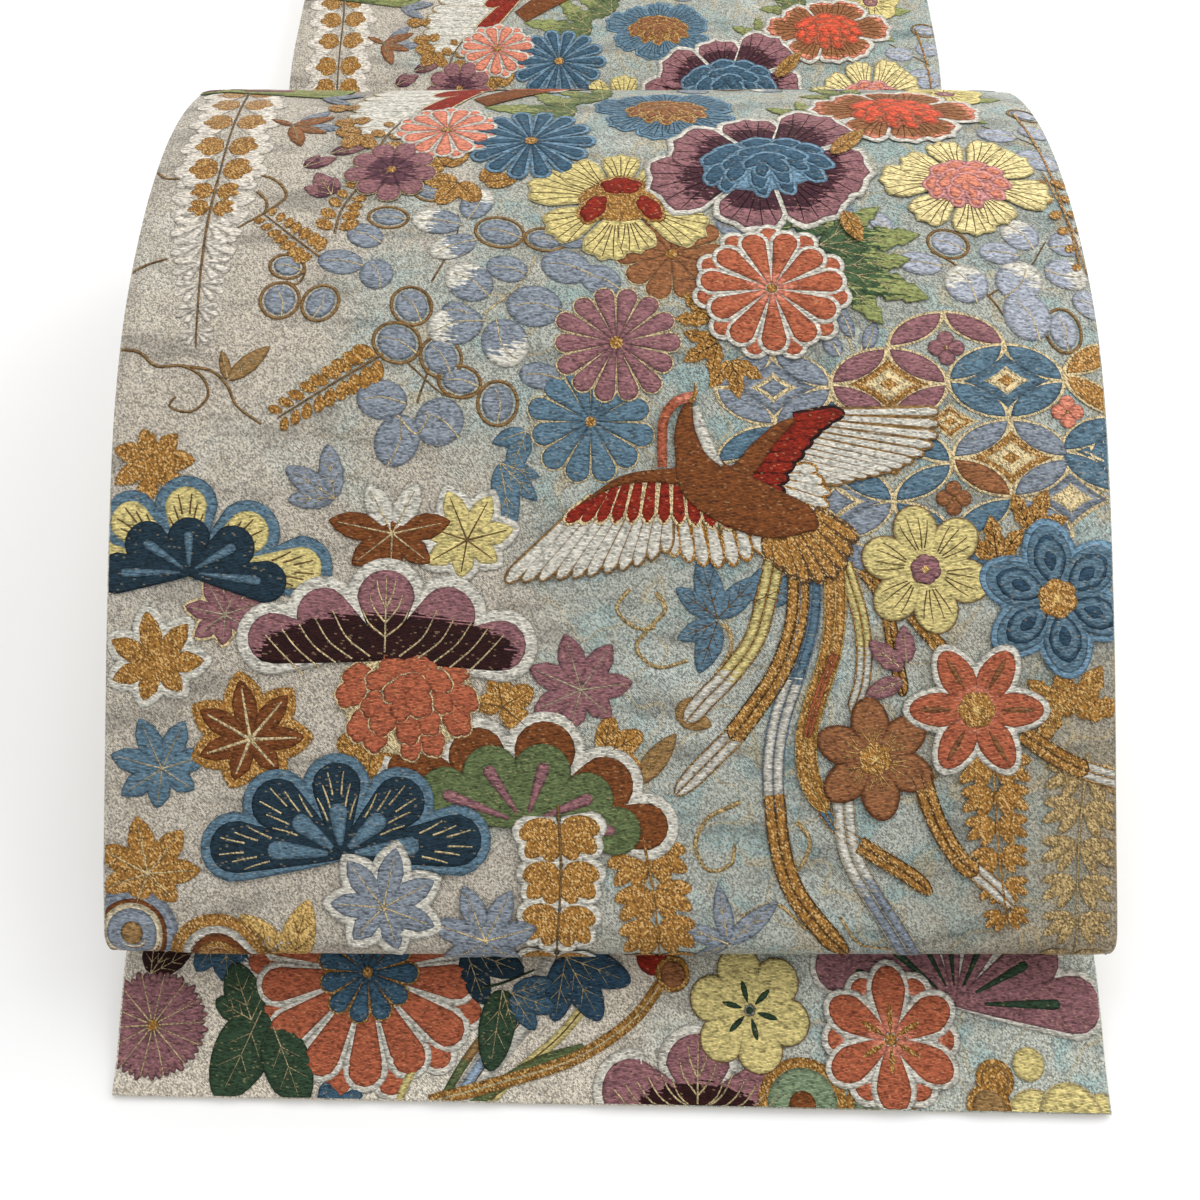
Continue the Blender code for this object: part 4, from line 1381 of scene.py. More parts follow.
FOLIAGE = tuple(Leaf(*row) for row in (
    ((60, 634), 26, -50, FADING_GREEN, ((0, 1), (44, 0.7), (-40, 0.8)), 0.5, 5, 4),
    ((68, 626), 34, -82, FADING_GREEN, ((0, 1), (30, 0.8), (-26, 0.8)), 0.36, 6, 5),
    ((72, 617), 32, -112, FADING_GREEN, ((0, 1), (30, 0.8), (-34, 0.8)), 0.4, 7, 5),
    ((58, 642), 16, 160, FADING_GREEN, BUD, 0.6, 7, 3),
    ((-12, 700), 34, 80, LEAF_GREEN, TRIPLE, 0.36, 0, 5),
    ((-2, 714), 26, 50, LEAF_GREEN, TRIPLE, 0.4, 0, 5),
    ((72, 694), 18, 60, LEAF_GREEN, TRIPLE, 0.42, 4, 4),
    ((112, 712), 34, -84, LEAF_GREEN, TRIPLE, 0.34, 0, 5),
    ((90, 716), 22, 40, LEAF_GREEN, TRIPLE, 0.42, 0, 4),
    ((64, 734), 22, 20, FADING_GREEN, TRIPLE, 0.42, 0, 4, PALE_GILT),
    ((-85, 540), 17, 8, LAVENDER, ((0, 1), (50, 1.05), (84, 0.85)), 0.46, 2, 0, CREAM_GILT, 0.55),
    ((33, 503), 20, 16, BLUE, ((0, 1), (38, 0.8), (-60, 0.9)), 0.46, 1, 0, OCHRE),
    ((33, 502), 17, 160, BLUE, ((0, 1), (-46, 0.8)), 0.5, 1, 0, OCHRE),
    ((44, 508), 16, -66, BLUE, ((0, 1), (50, 0.7)), 0.6, 1, 0, OCHRE),
    ((90, 487), 14, 50, MAUVE, BUD, 0.5, 12), ((90, 484), 13, 112, MAUVE, BUD, 0.5, 12),
    ((91, 489), 12, 5, MAUVE, BUD, 0.55, 12),
    ((-34, 551), 22, 190, BLUE, ((0, 1), (34, 0.75), (60, 0.6)), 0.4, 1),
    ((-26, 561), 14, 160, BLUE, ((0, 1), (-50, 0.8)), 0.55, 1),
    ((-4, 540), 12, 130, BLUE, ((0, 1), (50, 0.8)), 0.5, 1),
    ((119, 521), 14, 8, GILT, TRIPLE, 0.5, 6, 3, DARK_GILT),
    ((129, 530), 14, -24, GILT, TRIPLE, 0.5, 6, 3, DARK_GILT),
    ((32, 598), 13, 40, GILT, TRIPLE, 0.5, 2, 3, DARK_GILT),
    ((34, 590), 13, 120, GILT, TRIPLE, 0.5, 2, 3, DARK_GILT),
    ((38, 584), 13, 190, GILT, TRIPLE, 0.5, 2, 3, DARK_GILT),
    ((-56, 664), 11, 30, GILT, ((0, 1), (70, 1), (-70, 1)), 0.7, 4, 0, OCHRE, 0.45),
    ((-51, 655), 12, 150, GILT, ((0, 1), (70, 1), (-70, 1)), 0.7, 4, 0, OCHRE, 0.45),
    ((-42, 655), 11, -80, GILT, ((0, 1), (60, 0.9)), 0.7, 4, 0, OCHRE, 0.45),
    ((-95, 704), 8, 60, GILT, ((0, 1), (-100, 0.7)), 0.9, 6, 0, OCHRE, 0.45),
    ((-90, 692), 8, 80, GILT, ((0, 1), (-120, 0.8)), 0.9, 6, 0, OCHRE, 0.45),
    ((-87, 684), 10, 150, GILT, ((0, 1), (-80, 1), (60, 0.8)), 0.8, 6, 0, OCHRE, 0.45),
    ((142, 474), 17, -30, GILT, ((0, 1), (50, 0.9), (-50, 0.9), (100, 0.7)), 0.55, 6, 3,
        PALE_GILT),
    ((138, 476), 15, 100, GILT, TRIPLE, 0.5, 6, 3, PALE_GILT),
    ((-33, 476), 11, -60, GILT, ((0, 1), (70, 1), (-70, 1), (140, 0.8)), 0.75, 3, 0, OCHRE, 0.45),
    ((-72, 466), 12, 170, GILT, ((0, 1), (70, 1), (-70, 1)), 0.75, 3, 0, OCHRE, 0.45),
    ((-2, 461), 14, -60, GILT, ((0, 1), (50, 0.9), (-50, 0.9)), 0.6, 2, 0, OCHRE, 0.45),
    ((-112, 690), 16, -60, TAN, ((0, 1), (120, 0.6)), 0.36, 1, 0, CREAM),
    ((-112, 690), 15, 200, TAN, ((0, 1), (50, 0.9)), 0.4, 1, 0, CREAM),
    ((-110, 690), 16, -95, LAVENDER, ((0, 1), (60, 1)), 0.4, 0, 0, CREAM),
    ((36, 404), 18, 10, LAVENDER, ((0, 1), (60, 0.9), (-60, 1.1), (110, 0.7)), 0.34, 1),
    ((-98, 396), 22, 42, PALE_GILT, ((0, 1), (-58, 1)), 0.48, 1, 0, GILT),
    ((8, 452), 20, -38, OCHRE, BUD, 0.36, 0, 0, PALE_GILT),
    ((20, 474), 12, -110, OCHRE, ((0, 1), (45, 0.8)), 0.6, 0, 0, PALE_GILT),
    ((-119, 577), 13, 15, OCHRE, ((0, 0.8), (-62, 1.3)), 0.36, 1),
    ((-104, 664), 12, -60, DEEP_MAUVE, ((0, 1), (28, 0.7)), 0.5, 1),
    ((-93, 650), 13, 30, DEEP_MAUVE, ((0, 1), (40, 0.8), (-30, 0.7)), 0.6, 1),
    ((-96, 672), 13, -70, DEEP_MAUVE, ((0, 1), (20, 0.8)), 0.4, 1),
    ((77, 640), 14, 200, GILT, BUD, 0.5, 22, 0, OCHRE),
    ((76, 668), 20, -40, GILT, BUD, 0.36, 22, 0, OCHRE),
))
TAIL_FOLIAGE = tuple(Leaf(*row) for row in (
    ((-113, 24), 19, 22, DARK_GREEN, ((0, 1), (40, 0.7), (-44, 0.6)), 0.62, 2, 0, CREAM_GILT, 0.5),
    ((-110, 27), 30, 158, DARK_GREEN, BUD, 0.62, 2, 0, CREAM_GILT, 0.5),
    ((-106, 22), 27, 204, DARK_GREEN, BUD, 0.56, 3, 0, CREAM_GILT, 0.5),
    ((-34, 34), 25, 172, DARK_GREEN, ((0, 1), (26, 0.5)), 0.46, 8, 0, CREAM_GILT, 0.5),
    ((-14, 44), 22, -150, INK, ((0, 1), (40, 1), (-40, 0.9), (76, 0.8)), 0.5, 8, 0, CREAM_GILT,
        0.5),
    ((-31, 33), 15, -110, DEEP_BLUE, ((0, 1), (36, 0.9), (-36, 0.9)), 0.5, 9, 0, CREAM_GILT, 0.5),
    ((-46, 46), 20, -110, NAVY, TRIPLE, 0.5, 4, 0, CREAM_GILT, 0.5),
    ((-146, 38), 16, -30, MAROON, ((0, 1), (30, 0.9), (-30, 0.9)), 0.5, 1),
    ((-124, 52), 17, 190, DEEP_BLUE, ((0, 1), (40, 0.9), (-40, 0.9)), 0.6, 1, 0, CREAM_GILT, 0.5),
    ((-104, 52), 16, 170, DEEP_BLUE, TRIPLE, 0.6, 1, 0, CREAM_GILT, 0.5),
    ((-85, -6), 12, 20, DEEP_BLUE, ((0, 1), (60, 1), (-60, 1)), 0.6, 2, 0, CREAM_GILT, 0.5),
))
SPRAYS = (
    Spray(way(-94, 622, -103, 630, -114, 640), 7, (7, 3.7), level=1),
    Spray(way(-90, 632, -89, 642, -84, 655), 5, (7.5, 4), level=1),
    Spray(way(-71, 586, -85, 577, -103, 565), 9, (8.5, 4), splay=50, level=1),
    Spray(way(-139, 790, -136, 732, -134, 714, -132, 664, -132, 654), 9, (18, 16), GILT, OCHRE, 80,
        0, 0.1, FAN, SHELL, 1.1, 0.6),
    Spray(way(-132, 656, -132, 630, -130, 588), 8, (16, 9), GILT, OCHRE, 66, -1, 0.66, FAN, SHELL,
        0.2, 0.5),
    Spray(way(-16, 446, -15, 426, -17, 392), 4, (17, 17), GILT, OCHRE, 46, 14, 0.2, FAN, WHITE,
        1.1, 0.82),
    Spray(way(10, 436, 13, 420, 16, 392), 4, (14, 13), GILT, GILT, 52, 2, 0.1, FAN),
    Spray(way(117, 464, 118, 438, 121, 408), 6, (13, 11), GILT, GILT, 56, 12, 0.5, FAN),
    Spray(way(146, 462, 143, 432, 142, 394), 6, (14, 10), FADED_GILT, FADED_GILT, 58, 1, 0.25,
        FAN),
    Spray(way(-80, 672, -78, 682, -74, 692), 3, (8, 4.8), level=5),
    Spray(way(147, 660, 151, 640, 154, 615), 6, (7, 3.6), GILT, GILT, 60, 6),
    Spray(way(10, 868, 16, 850, 30, 838), 5, (9, 4), level=2),
)
SCROLLS = (
    Scroll(way(-156, 589, -148, 587, -142, 582, -134, 582, -127, 578, -125, 572, -130, 567, -137,
        569, -135, 572), 1.1),
    Scroll(way(-134, 582, -124, 580, -119, 575, -116, 569, -108, 563), 1.1),
    Scroll(way(-121, 660, -113, 657, -108, 649, -112, 643, -122, 634), 1.2),
    Scroll(way(-118, 651, -114, 646, -114, 640), 1.2),
    Scroll(way(-155, 617, -150, 619, -143, 621), 1.1),
    Scroll(way(-154, 662, -150, 658, -145, 657), 1.1),
    Scroll(way(-104, 612, -100, 611, -98, 616, -100, 622), 0.9),
    Scroll(way(-57, 612, -50, 630, -50, 640)), Scroll(way(-60, 570, -55, 590, -58, 606)),
    Scroll(way(-64, 584, -58, 578, -50, 572, -40, 574)),
    Scroll(way(-40, 600, -28, 612, -24, 622), 0.7, CREAM_GILT),
    Scroll(way(-66, 566, -60, 560, -56, 566), 0.7, CREAM_GILT, 3),
    Scroll(way(104, 624, 112, 618, 122, 604, 126, 596), 0.9),
    Scroll(way(120, 606, 134, 616, 142, 628)), Scroll(way(132, 690, 142, 682, 150, 676)),
    Scroll(way(84, 600, 80, 592, 78, 582), 0.8, CREAM_GILT),
    Scroll(way(70, 604, 74, 594, 78, 582), 0.8, CREAM_GILT),
    Scroll(way(14, 511, 17, 506, 12, 500, 8, 494, 14, 488, 24, 490), 1.5, FADED_GILT),
    Scroll(way(28, 501, 36, 500, 37, 493, 32, 485, 28, 478), 1.5, FADED_GILT),
    Scroll(way(6, 512, 2, 506, 8, 500, 14, 500), 1.3, FADED_GILT),
    Scroll(way(40, 447, 36, 445, 30, 442, 26, 434, 30, 426, 37, 428, 38, 434), 1.5, FADED_GILT),
    Scroll(way(57, 441, 61, 435, 58, 427, 54, 424), 1.5, FADED_GILT),
    Scroll(way(100, 455, 94, 448, 98, 440), 1.2, FADED_GILT),
    Scroll(way(40, 412, 50, 416, 60, 408), 1.4, FADED_GILT),
    Scroll(way(70, 412, 76, 404, 86, 402), 1, FADED_GILT),
    Scroll(way(146, 700, 150, 660, 152, 620), 1, GILT, 5),
    Rings((-146, 406), 14.2, ((1, LAVENDER), (0.76, BROWN), (0.66, CREAM), (0.54, LAVENDER),
        (0.24, OCHRE)), 3),
    Rings((-120, 397), 15.5, ((1, GILT), (0.76, WHITE), (0.62, BROWN), (0.48, GILT)), 9),
)
TAIL_SCROLLS = (
    Scroll(way(-56, 0, -34, 6, -10, 14, 8, 26, 16, 36), 4.2, GILT, 8, 0.1),
    Scroll(way(-56, 0, -34, 6, -10, 14, 8, 26, 16, 36), 0.7, CREAM_GILT, 9, 0.1),
    Rings((20, 39), 5.5, ((1, GILT), (0.72, TAN)), 10), Rings((14, 44), 5.5, ((1, RED),), 9),
    Scroll(way(0, 52, -4, 36, -14, 22, -30, 8, -40, -3), 3.4, YELLOW, 4, 0.1),
    Scroll(way(0, 52, -4, 36, -14, 22, -30, 8, -40, -3), 0.5, OCHRE, 5, 0.1),
    Scroll(way(-8, 16, -22, 12, -36, 4, -44, -3), 4.6, Thread(Silk.GREEN), 5, 0.2),
    Scroll(way(-32, 22, -40, 12, -50, -3), 3.4, PALE_BLUE, 3),
    Scroll(way(-34, 26, -44, 14, -54, -3), 3.4, Thread(Silk.OCHRE, Silk.GREEN, 0.5, 0.3), 4),
    Scroll(way(-14, 50, -24, 30, -38, 12, -48, -3), 9, WHITE, 1, 0.1),
    Scroll(way(-14, 50, -24, 30, -38, 12, -48, -3), 0.5, OCHRE, 2, 0.1),
    Scroll(way(-60, 12, -64, 4, -66, -3), 3, YELLOW, 4),
    Rings((59.5, 1), 14, ((1, GILT), (0.78, Thread(Silk.SAGE)), (0.3, BROWN)), 9),
    Rings((83.6, 0), 11, ((1, GILT), (0.76, Thread(Silk.SAGE))), 8),
    Rings((119.7, 9.3), 6, ((1, GILT), (0.74, OCHRE), (0.66, GILT)), 7),
    Rings((117, 1.3), 7, ((1, GILT), (0.74, OCHRE)), 8),
    Rings((142, -1), 10, ((1, CREAM_GILT), (0.96, YELLOW)), 6),
    Rings((131, -2), 9, ((1, CREAM_GILT), (0.96, YELLOW)), 4),
    Rings((152, -2), 8, ((1, CREAM_GILT), (0.96, YELLOW)), 4),
    Rings((130.6, 13.8), 5, ((1, YELLOW),), 5),
    Scroll(way(-42, 34, -34, 36, -24, 40), 0.9, DARK_GREEN, 6),
)
WHITE_TIP = Thread(Silk.YELLOW, Silk.WHITE, 0.68, 0.25)
PHOENIX = (
    Plume(way(51, 523, 48, 509, 44, 496, 35, 484, 29, 478, 23, 471), 6.2, WHITE_TIP, GILT, 2),
    Plume(way(58, 523, 57, 502, 52, 487, 44, 475, 37, 466), 6.4, level=4, close_over=0.001),
    Plume(way(39, 468, 35, 464, 28, 457, 20, 449), 6.2, WHITE, GILT, 3, 0.4),
    Plume(way(62, 523, 61, 502, 57, 487, 52, 472, 50, 460, 50, 444), 6.2,
        Thread(Silk.BLUE, Silk.WHITE, 0.5, 0.12), PALE_BLUE, 3, 0.001),
    Plume(way(50, 449, 52, 432, 56, 420, 64, 409, 73, 400), 6.2, level=4, close_over=0.2),
    Plume(way(69, 523, 69, 502, 67, 490, 63, 478, 60, 466, 61, 454, 66, 444), 6.4, GILT, PALE_GILT,
        6),
    Plume(way(69, 492, 64, 480, 60, 466), 3, CORAL, GILT, 9, 0.02),
    Plume(way(62, 452, 68, 440, 76, 434, 84, 428), 3.4, BLUE, GILT, 3),
    Plume(way(76, 434, 84, 429, 92, 424, 98, 419), 5, level=5, close_over=0.25),
    Plume(way(71, 449, 73, 432, 79, 420, 86, 409, 94, 397), 6.4,
        Thread(Silk.WHITE, Silk.LAVENDER, 0.5, 0.3), CREAM, 4, 0.02),
    Plume(way(72, 520, 77, 503, 78, 492, 77, 482, 74, 474), 4.6,
        Thread(Silk.YELLOW, Silk.WHITE, 0.6, 0.3), GILT, 3),
    Plume(way(78, 518, 84, 509, 87, 495, 90, 479), 4, level=3),
    Plume(way(93, 504, 103, 492), 4.4, level=3),
    Plume(way(95, 455, 100, 440, 107, 429, 112, 425), 5.6, level=14, close_over=0.001),
    Plume(way(111, 426, 116, 422, 123, 415), 5.2, WHITE, GILT, 13, 0.5),
    Plume(way(126, 468, 136, 461, 146, 456), 5.6, level=7, close_over=0.001),
    Plume(way(144, 457, 150, 455, 158, 453), 5.4, WHITE, GILT, 6, 0.01),
    Feathers(way(48, 529, 57, 530, 63, 536), way(49, 521, 60, 514, 70, 516, 76, 527), 9, 4.4, GILT,
        DARK_GILT, 10, 0.7),
    Feathers(way(18, 536, 26, 533, 36, 532, 49, 531), way(20, 522, 29, 519, 38, 519, 51, 525), 8,
        4.6, WHITE, GILT, 8),
    Feathers(way(18, 536, 7, 535, -4, 535, -10, 536), way(17, 523, 8, 519, -6, 516, -32, 514), 11,
        4.5, WHITE, OCHRE, 10),
    Feathers(way(32, 542, 18, 546, 6, 545.5, -5, 540), way(37, 530, 16, 532, 2, 532, -14, 532), 11,
        4.6, RED, CREAM_GILT, 13),
    Feathers(way(51, 541, 56, 549), way(65, 534, 68, 540, 64, 549), 5, 4.2, WHITE, GILT, 11),
    Feathers(way(52, 549, 60, 556, 70, 567), way(72, 545, 93, 551, 101, 558, 102, 567), 12, 3.6,
        WHITE, OCHRE, 8),
    Feathers(way(39.5, 543, 45, 549.5, 51, 558, 57, 565),
        way(54, 542, 56, 548, 61, 555.4, 66, 562, 72.5, 566.6), 8, 5, RED, MAROON, 12, 0.5),
    Area(way(-9, 538, 4, 544, 20, 544, 34, 537), way(-9, 538.6, 4, 547, 16, 549, 34, 550), BROWN,
        17),
    Area(way(34, 552, 37.2, 550, 43.8, 556.8, 51.7, 563.3, 57, 565.4),
        way(34, 542, 40.7, 543.2, 45.8, 549.2, 51.6, 557.6, 57.6, 564), BROWN, 17),
    Area(way(63.5, 530, 50, 527.5, 39, 530, 29, 535, 22, 541.5, 20.2, 547.5, 20.2, 552.5, 19.7,
        558.5, 20.4, 563, 22, 568, 24.8, 571), way(64.5, 531.5, 62, 537, 54, 541.5, 45, 546, 37.5,
        549.2, 32.9, 550.6, 29.4, 554, 27.2, 558.5, 25.9, 563, 25.6, 568, 25.8, 571.4), BROWN, 18),
    Area(way(25.6, 568.6, 26, 562.6, 27.4, 558.2, 29.6, 553.7, 34.2, 549.8),
        way(27.6, 569, 29.4, 563.6, 31.4, 558, 33.8, 552.6, 35, 550.2), WHITE, 19.5),
    Scroll(way(26.5, 572, 21, 570.5, 17, 565.5, 16, 557, 16.2, 549.5), 3.3, SALMON_CORAL, 20, 0.1),
    Scroll(way(25, 570, 26.6, 573, 26.4, 576.5), 1.8, GILT, 21, 0.7),
)
WING = (
    Feathers(way(-58, 690, -60, 704, -50, 728, -32, 750),
        way(-90, 686, -94, 702, -88, 724, -66, 764), 14, 7.4, WHITE, FADED_GILT, 1),
    Feathers(way(-50, 726, -34, 742, -16, 750), way(-67, 696, -62, 728, -42, 756), 4, 9.5, RED,
        CREAM_GILT, 5),
    Area(way(-50, 714, -30, 736, 0, 756), way(-44, 706, -18, 728, 4, 744), BROWN, 7),
)
DRUM_FAMILIES = {"chrysanthemums": CHRYSANTHEMUMS, "peonies": PEONIES, "maples": MAPLES,
                 "pine_boughs": PINE_BOUGHS, "blossoms": BLOSSOMS, "linked_circles": CIRCLES,
                 "round_leaves": LEAVES, "foliage": FOLIAGE, "sprays": SPRAYS,
                 "scrolls": SCROLLS, "phoenix": PHOENIX + WING}
TAIL_FAMILIES = {"chrysanthemums": TAIL_CHRYSANTHEMUMS, "pine_boughs": TAIL_BOUGHS,
                 "blossoms": TAIL_BLOSSOMS, "foliage": TAIL_FOLIAGE, "scrolls": TAIL_SCROLLS}
PATTERN_REPEAT = 895.0


# ---------------- finishes
Socket = bpy.types.NodeSocket


class Nodes:
    """A short way to write the nodes of a material or a group."""

    def __init__(self, tree: bpy.types.NodeTree) -> None:
        """Keeps the tree that the nodes go into."""
        self.tree = tree

    def new(self, kind: str, inputs: dict | None = None, **settings: object) -> bpy.types.Node:
        """Adds a node.

        Args:
            kind: The node's type, without its ShaderNode prefix unless it has none.
            inputs: Values or sockets for its inputs, by name or place.
            settings: Values for its properties.

        Returns:
            The node.
        """
        node = self.tree.nodes.new(kind if kind.startswith("NodeGroup") else f"ShaderNode{kind}")
        for name, value in settings.items():
            setattr(node, name, value)
        for name, value in (inputs or {}).items():
            if isinstance(value, Socket):
                self.tree.links.new(value, node.inputs[name])
            else:
                node.inputs[name].default_value = value
        return node

    def maths(self, operation: str, *values: object) -> Socket:
        """Adds a Math node and returns its result."""
        return self.new("Math", dict(enumerate(values)), operation=operation).outputs[0]

    def times(self, first: object, second: object) -> Socket:
        """The product of two values."""
        return self.maths("MULTIPLY", first, second)

    def total(self, base: object, *terms: tuple) -> Socket:
        """A value with others added, each given with its weight.

        Args:
            base: The value.
            terms: What is added, each with its weight.

        Returns:
            The sum.
        """
        for value, weight in terms:
            base = self.maths("MULTIPLY_ADD", value, weight, base)
        return base

    def ridges(self, line: Socket) -> Socket:
        """The size of a sine that is 0 at each whole number."""
        return self.maths("ABSOLUTE", self.maths("SINE", self.times(line, math.pi)))

    def blend(self, share: object, first: object, second: object, kind: str = "MIX") -> Socket:
        """Adds a colour Mix node and returns its result."""
        node = self.new("Mix", {0: share, 6: first, 7: second}, data_type="RGBA", blend_type=kind)
        return node.outputs[2]

    def tinted(self, colour: Socket, share: Socket, most: float, *tint: float) -> Socket:
        """A colour with a tint over it, of the most strength where the share is 1."""
        return self.blend(self.times(share, most), colour, (*tint, 1))

    def lit(self, colour: object, light: Socket) -> Socket:
        """A colour lightened or darkened by a value."""
        grey = self.new("CombineColor", {0: light, 1: light, 2: light}).outputs[0]
        return self.blend(1, colour, grey, "MULTIPLY")

    def step(self, value: object, low: float, high: float) -> Socket:
        """A value eased from 0 at low to 1 at high."""
        node = self.new("MapRange", {0: value, 1: low, 2: high}, interpolation_type="SMOOTHSTEP")
        return node.outputs[0]

    def ramp(self, value: object, *ends: float) -> Socket:
        """A value taken evenly from between the first two ends to between the last two."""
        return self.new("MapRange", dict(enumerate((value, *ends)))).outputs[0]

    def noise(self, vector: object, scale: float, detail: float = 2.0) -> Socket:
        """Adds a Noise texture and returns its value."""
        node = self.new("TexNoise", {"Vector": vector, "Scale": scale, "Detail": detail})
        return node.outputs["Fac"]

    def vector(self, x: object, y: object) -> Socket:
        """Joins two values to a vector."""
        return self.new("CombineXYZ", {0: x, 1: y}).outputs[0]

    def white(self, vector: Socket) -> bpy.types.bpy_prop_collection:
        """Adds a flat white noise and returns its outputs."""
        return self.new("TexWhiteNoise", {"Vector": vector}, noise_dimensions="2D").outputs

    def carried(self, *names: str) -> list[bpy.types.bpy_prop_collection]:
        """Outputs of the attributes with these names."""
        return [self.new("Attribute", attribute_name=name).outputs for name in names]

    def group(self, make: Callable, cloth: Socket, *numbers: float) -> list[Socket]:
        """Adds a node group, made once, with its numbers, and returns its outputs.

        Args:
            make: What makes the group.
            cloth: The cloth's coordinates.
            numbers: Its numbers, in order.

        Returns:
            Its outputs.
        """
        node = self.new("Group", node_tree=bpy.data.node_groups.get(make.__name__) or make())
        self.tree.links.new(cloth, node.inputs[0])
        for place, number in enumerate(numbers, 1):
            node.inputs[place].default_value = number
        return list(node.outputs)


def start_group(name: str, numbers: dict, results: tuple) -> tuple[Nodes, list, list]:
    """Starts a node group that takes the cloth's coordinates and some numbers.

    Args:
        name: Its name.
        numbers: The numbers' names and usual values.
        results: Names of the values that it gives.

    Returns:
        Its nodes, the sockets of its inputs, and those of its results.
    """
    tree = bpy.data.node_groups.new(name, "ShaderNodeTree")
    tree.interface.new_socket("Cloth", in_out="INPUT", socket_type="NodeSocketVector")
    for label, value in numbers.items():
        socket = tree.interface.new_socket(label, in_out="INPUT", socket_type="NodeSocketFloat")
        socket.default_value = value
    for label in results:
        tree.interface.new_socket(label, in_out="OUTPUT", socket_type="NodeSocketFloat")
    nodes = Nodes(tree)
    return nodes, nodes.new("NodeGroupInput").outputs, nodes.new("NodeGroupOutput").inputs


def thread_rows() -> bpy.types.NodeTree:
    """The node group of weft rows: rows across the cloth, each a little different.

    A row's number is the floor of the place along the cloth, sloped a little, over the pitch.

    Returns:
        The group.
    """
    nodes, given, out = start_group("thread_rows", {"Pitch": 0.0004, "Slope": 0.1, "Run": 0.003},
                                    ("Row", "Streak", "Ridge", "Tick"))
    across, along, _ = nodes.new("SeparateXYZ", {0: given["Cloth"]}).outputs
    rows = nodes.maths("DIVIDE", nodes.total(along, (across, given["Slope"])), given["Pitch"])
    number = nodes.maths("FLOOR", rows)
    row = nodes.new("TexWhiteNoise", {"W": number}, noise_dimensions="1D").outputs["Value"]
    shifted = nodes.total(nodes.maths("DIVIDE", across, given["Run"]), (row, 37))
    streak = nodes.noise(nodes.vector(shifted, nodes.times(number, 3.7)), 1, 1)
    dash = nodes.maths("FLOOR", nodes.times(shifted, 3))
    tick = nodes.white(nodes.vector(dash, number))["Value"]
    for place, socket in enumerate((row, streak, nodes.ridges(rows), tick)):
        nodes.tree.links.new(socket, out[place])
    return nodes.tree


def slanted_grains() -> bpy.types.NodeTree:
    """The node group of metal thread's grains: white noise in slanted cells, between ridges.

    A line's number is the place along the cloth and a share, the slant, of that across it, over
    the pitch; its cells are counted at right angles to it, over the length.

    Returns:
        The group.
    """
    nodes, given, out = start_group(
        "slanted_grains", {"Length": 0.0009, "Pitch": 0.00056, "Slant": 1.1},
        ("Grain", "Second Grain", "Ridge"))
    across, along, _ = nodes.new("SeparateXYZ", {0: given["Cloth"]}).outputs
    back = nodes.times(given["Slant"], -1)
    line = nodes.maths("DIVIDE", nodes.total(along, (across, given["Slant"])), given["Pitch"])
    run = nodes.maths("DIVIDE", nodes.total(across, (along, back)), given["Length"])
    grain = nodes.white(nodes.vector(nodes.maths("FLOOR", run), nodes.maths("FLOOR", line)))
    for place, socket in enumerate((grain["Value"], grain["Color"], nodes.ridges(line))):
        nodes.tree.links.new(socket, out[place])
    return nodes.tree


@dataclass(frozen=True)
class Finish(ABC):
    """A finish: a name, the shader's plain values, and how deep its relief is, in metres."""

    name: str
    roughness: float
    metallic: float = 0.0
    sheen: float = 0.0
    specular: float = 0.3
    relief: float = 0.00012

    @abstractmethod
    def look(self, nodes: Nodes, cloth: Socket) -> tuple[Socket, Socket]:
        """Adds the nodes that the finish's looks need.

        Args:
            nodes: The material's nodes.
            cloth: The cloth's coordinates.

        Returns:
            The colour and the height of the relief.
        """

    def build(self) -> bpy.types.Material:
        """Makes the material, its looks joined to the shader.

        Returns:
            The material.
        """
        material = bpy.data.materials.new(self.name)
        material.use_nodes = True
        nodes = Nodes(material.node_tree)
        shader = nodes.tree.nodes["Principled BSDF"].inputs
        for socket, value in (("Roughness", self.roughness), ("Metallic", self.metallic),
                              ("Sheen Weight", self.sheen), ("Specular IOR Level", self.specular)):
            shader[socket].default_value = value
        colour, height = self.look(nodes, nodes.new("UVMap", uv_map=UV_NAME).outputs[0])
        bump = nodes.new("Bump", {"Height": height, "Distance": self.relief, "Strength": 1})
        nodes.tree.links.new(colour, shader["Base Color"])
        nodes.tree.links.new(bump.outputs[0], shader["Normal"])
        return material


@dataclass(frozen=True)
class SilkFloats(Finish):
    """Raised floats of dyed silk: rows that shift from one silk to another in jagged steps."""

    name: str = "silk_floats"
    roughness: float = 0.6
    specular: float = 0.14
    relief: float = 0.00066

    def look(self, nodes: Nodes, cloth: Socket) -> tuple[Socket, Socket]:
        """Colours come from the areas' tint, shade and mix, the relief from rows and rims.

        Args:
            nodes: The material's nodes.
            cloth: The cloth's coordinates.

        Returns:
            The colour, and the height of the relief.
        """
        tint, shade, mix, inside = nodes.carried("tint", "shade", "mix", "inside")
        row, streak, ridge, tick = nodes.group(thread_rows, cloth, 0.00046, 0.1, 0.0024)
        jag = nodes.total(mix["Fac"], (streak, 0.7), (row, 0.35))
        silk = nodes.blend(nodes.step(jag, 0.98, 1.06), tint["Color"], shade["Color"])
        light = nodes.total(0.1, (nodes.step(streak, 0.34, 0.66), 0.6), (tick, 0.7), (row, 0.2),
                            (ridge, 0.26))
        shadow = nodes.total(0.58, (nodes.step(inside["Fac"], 0, 0.85), 0.44))
        colour = nodes.lit(silk, nodes.times(light, shadow))
        colour = nodes.tinted(colour, nodes.step(tick, 0.965, 0.975), 0.3, 0.5, 0.36, 0.18)
        return colour, nodes.total(inside["Fac"], (ridge, 0.22), (streak, 0.35))


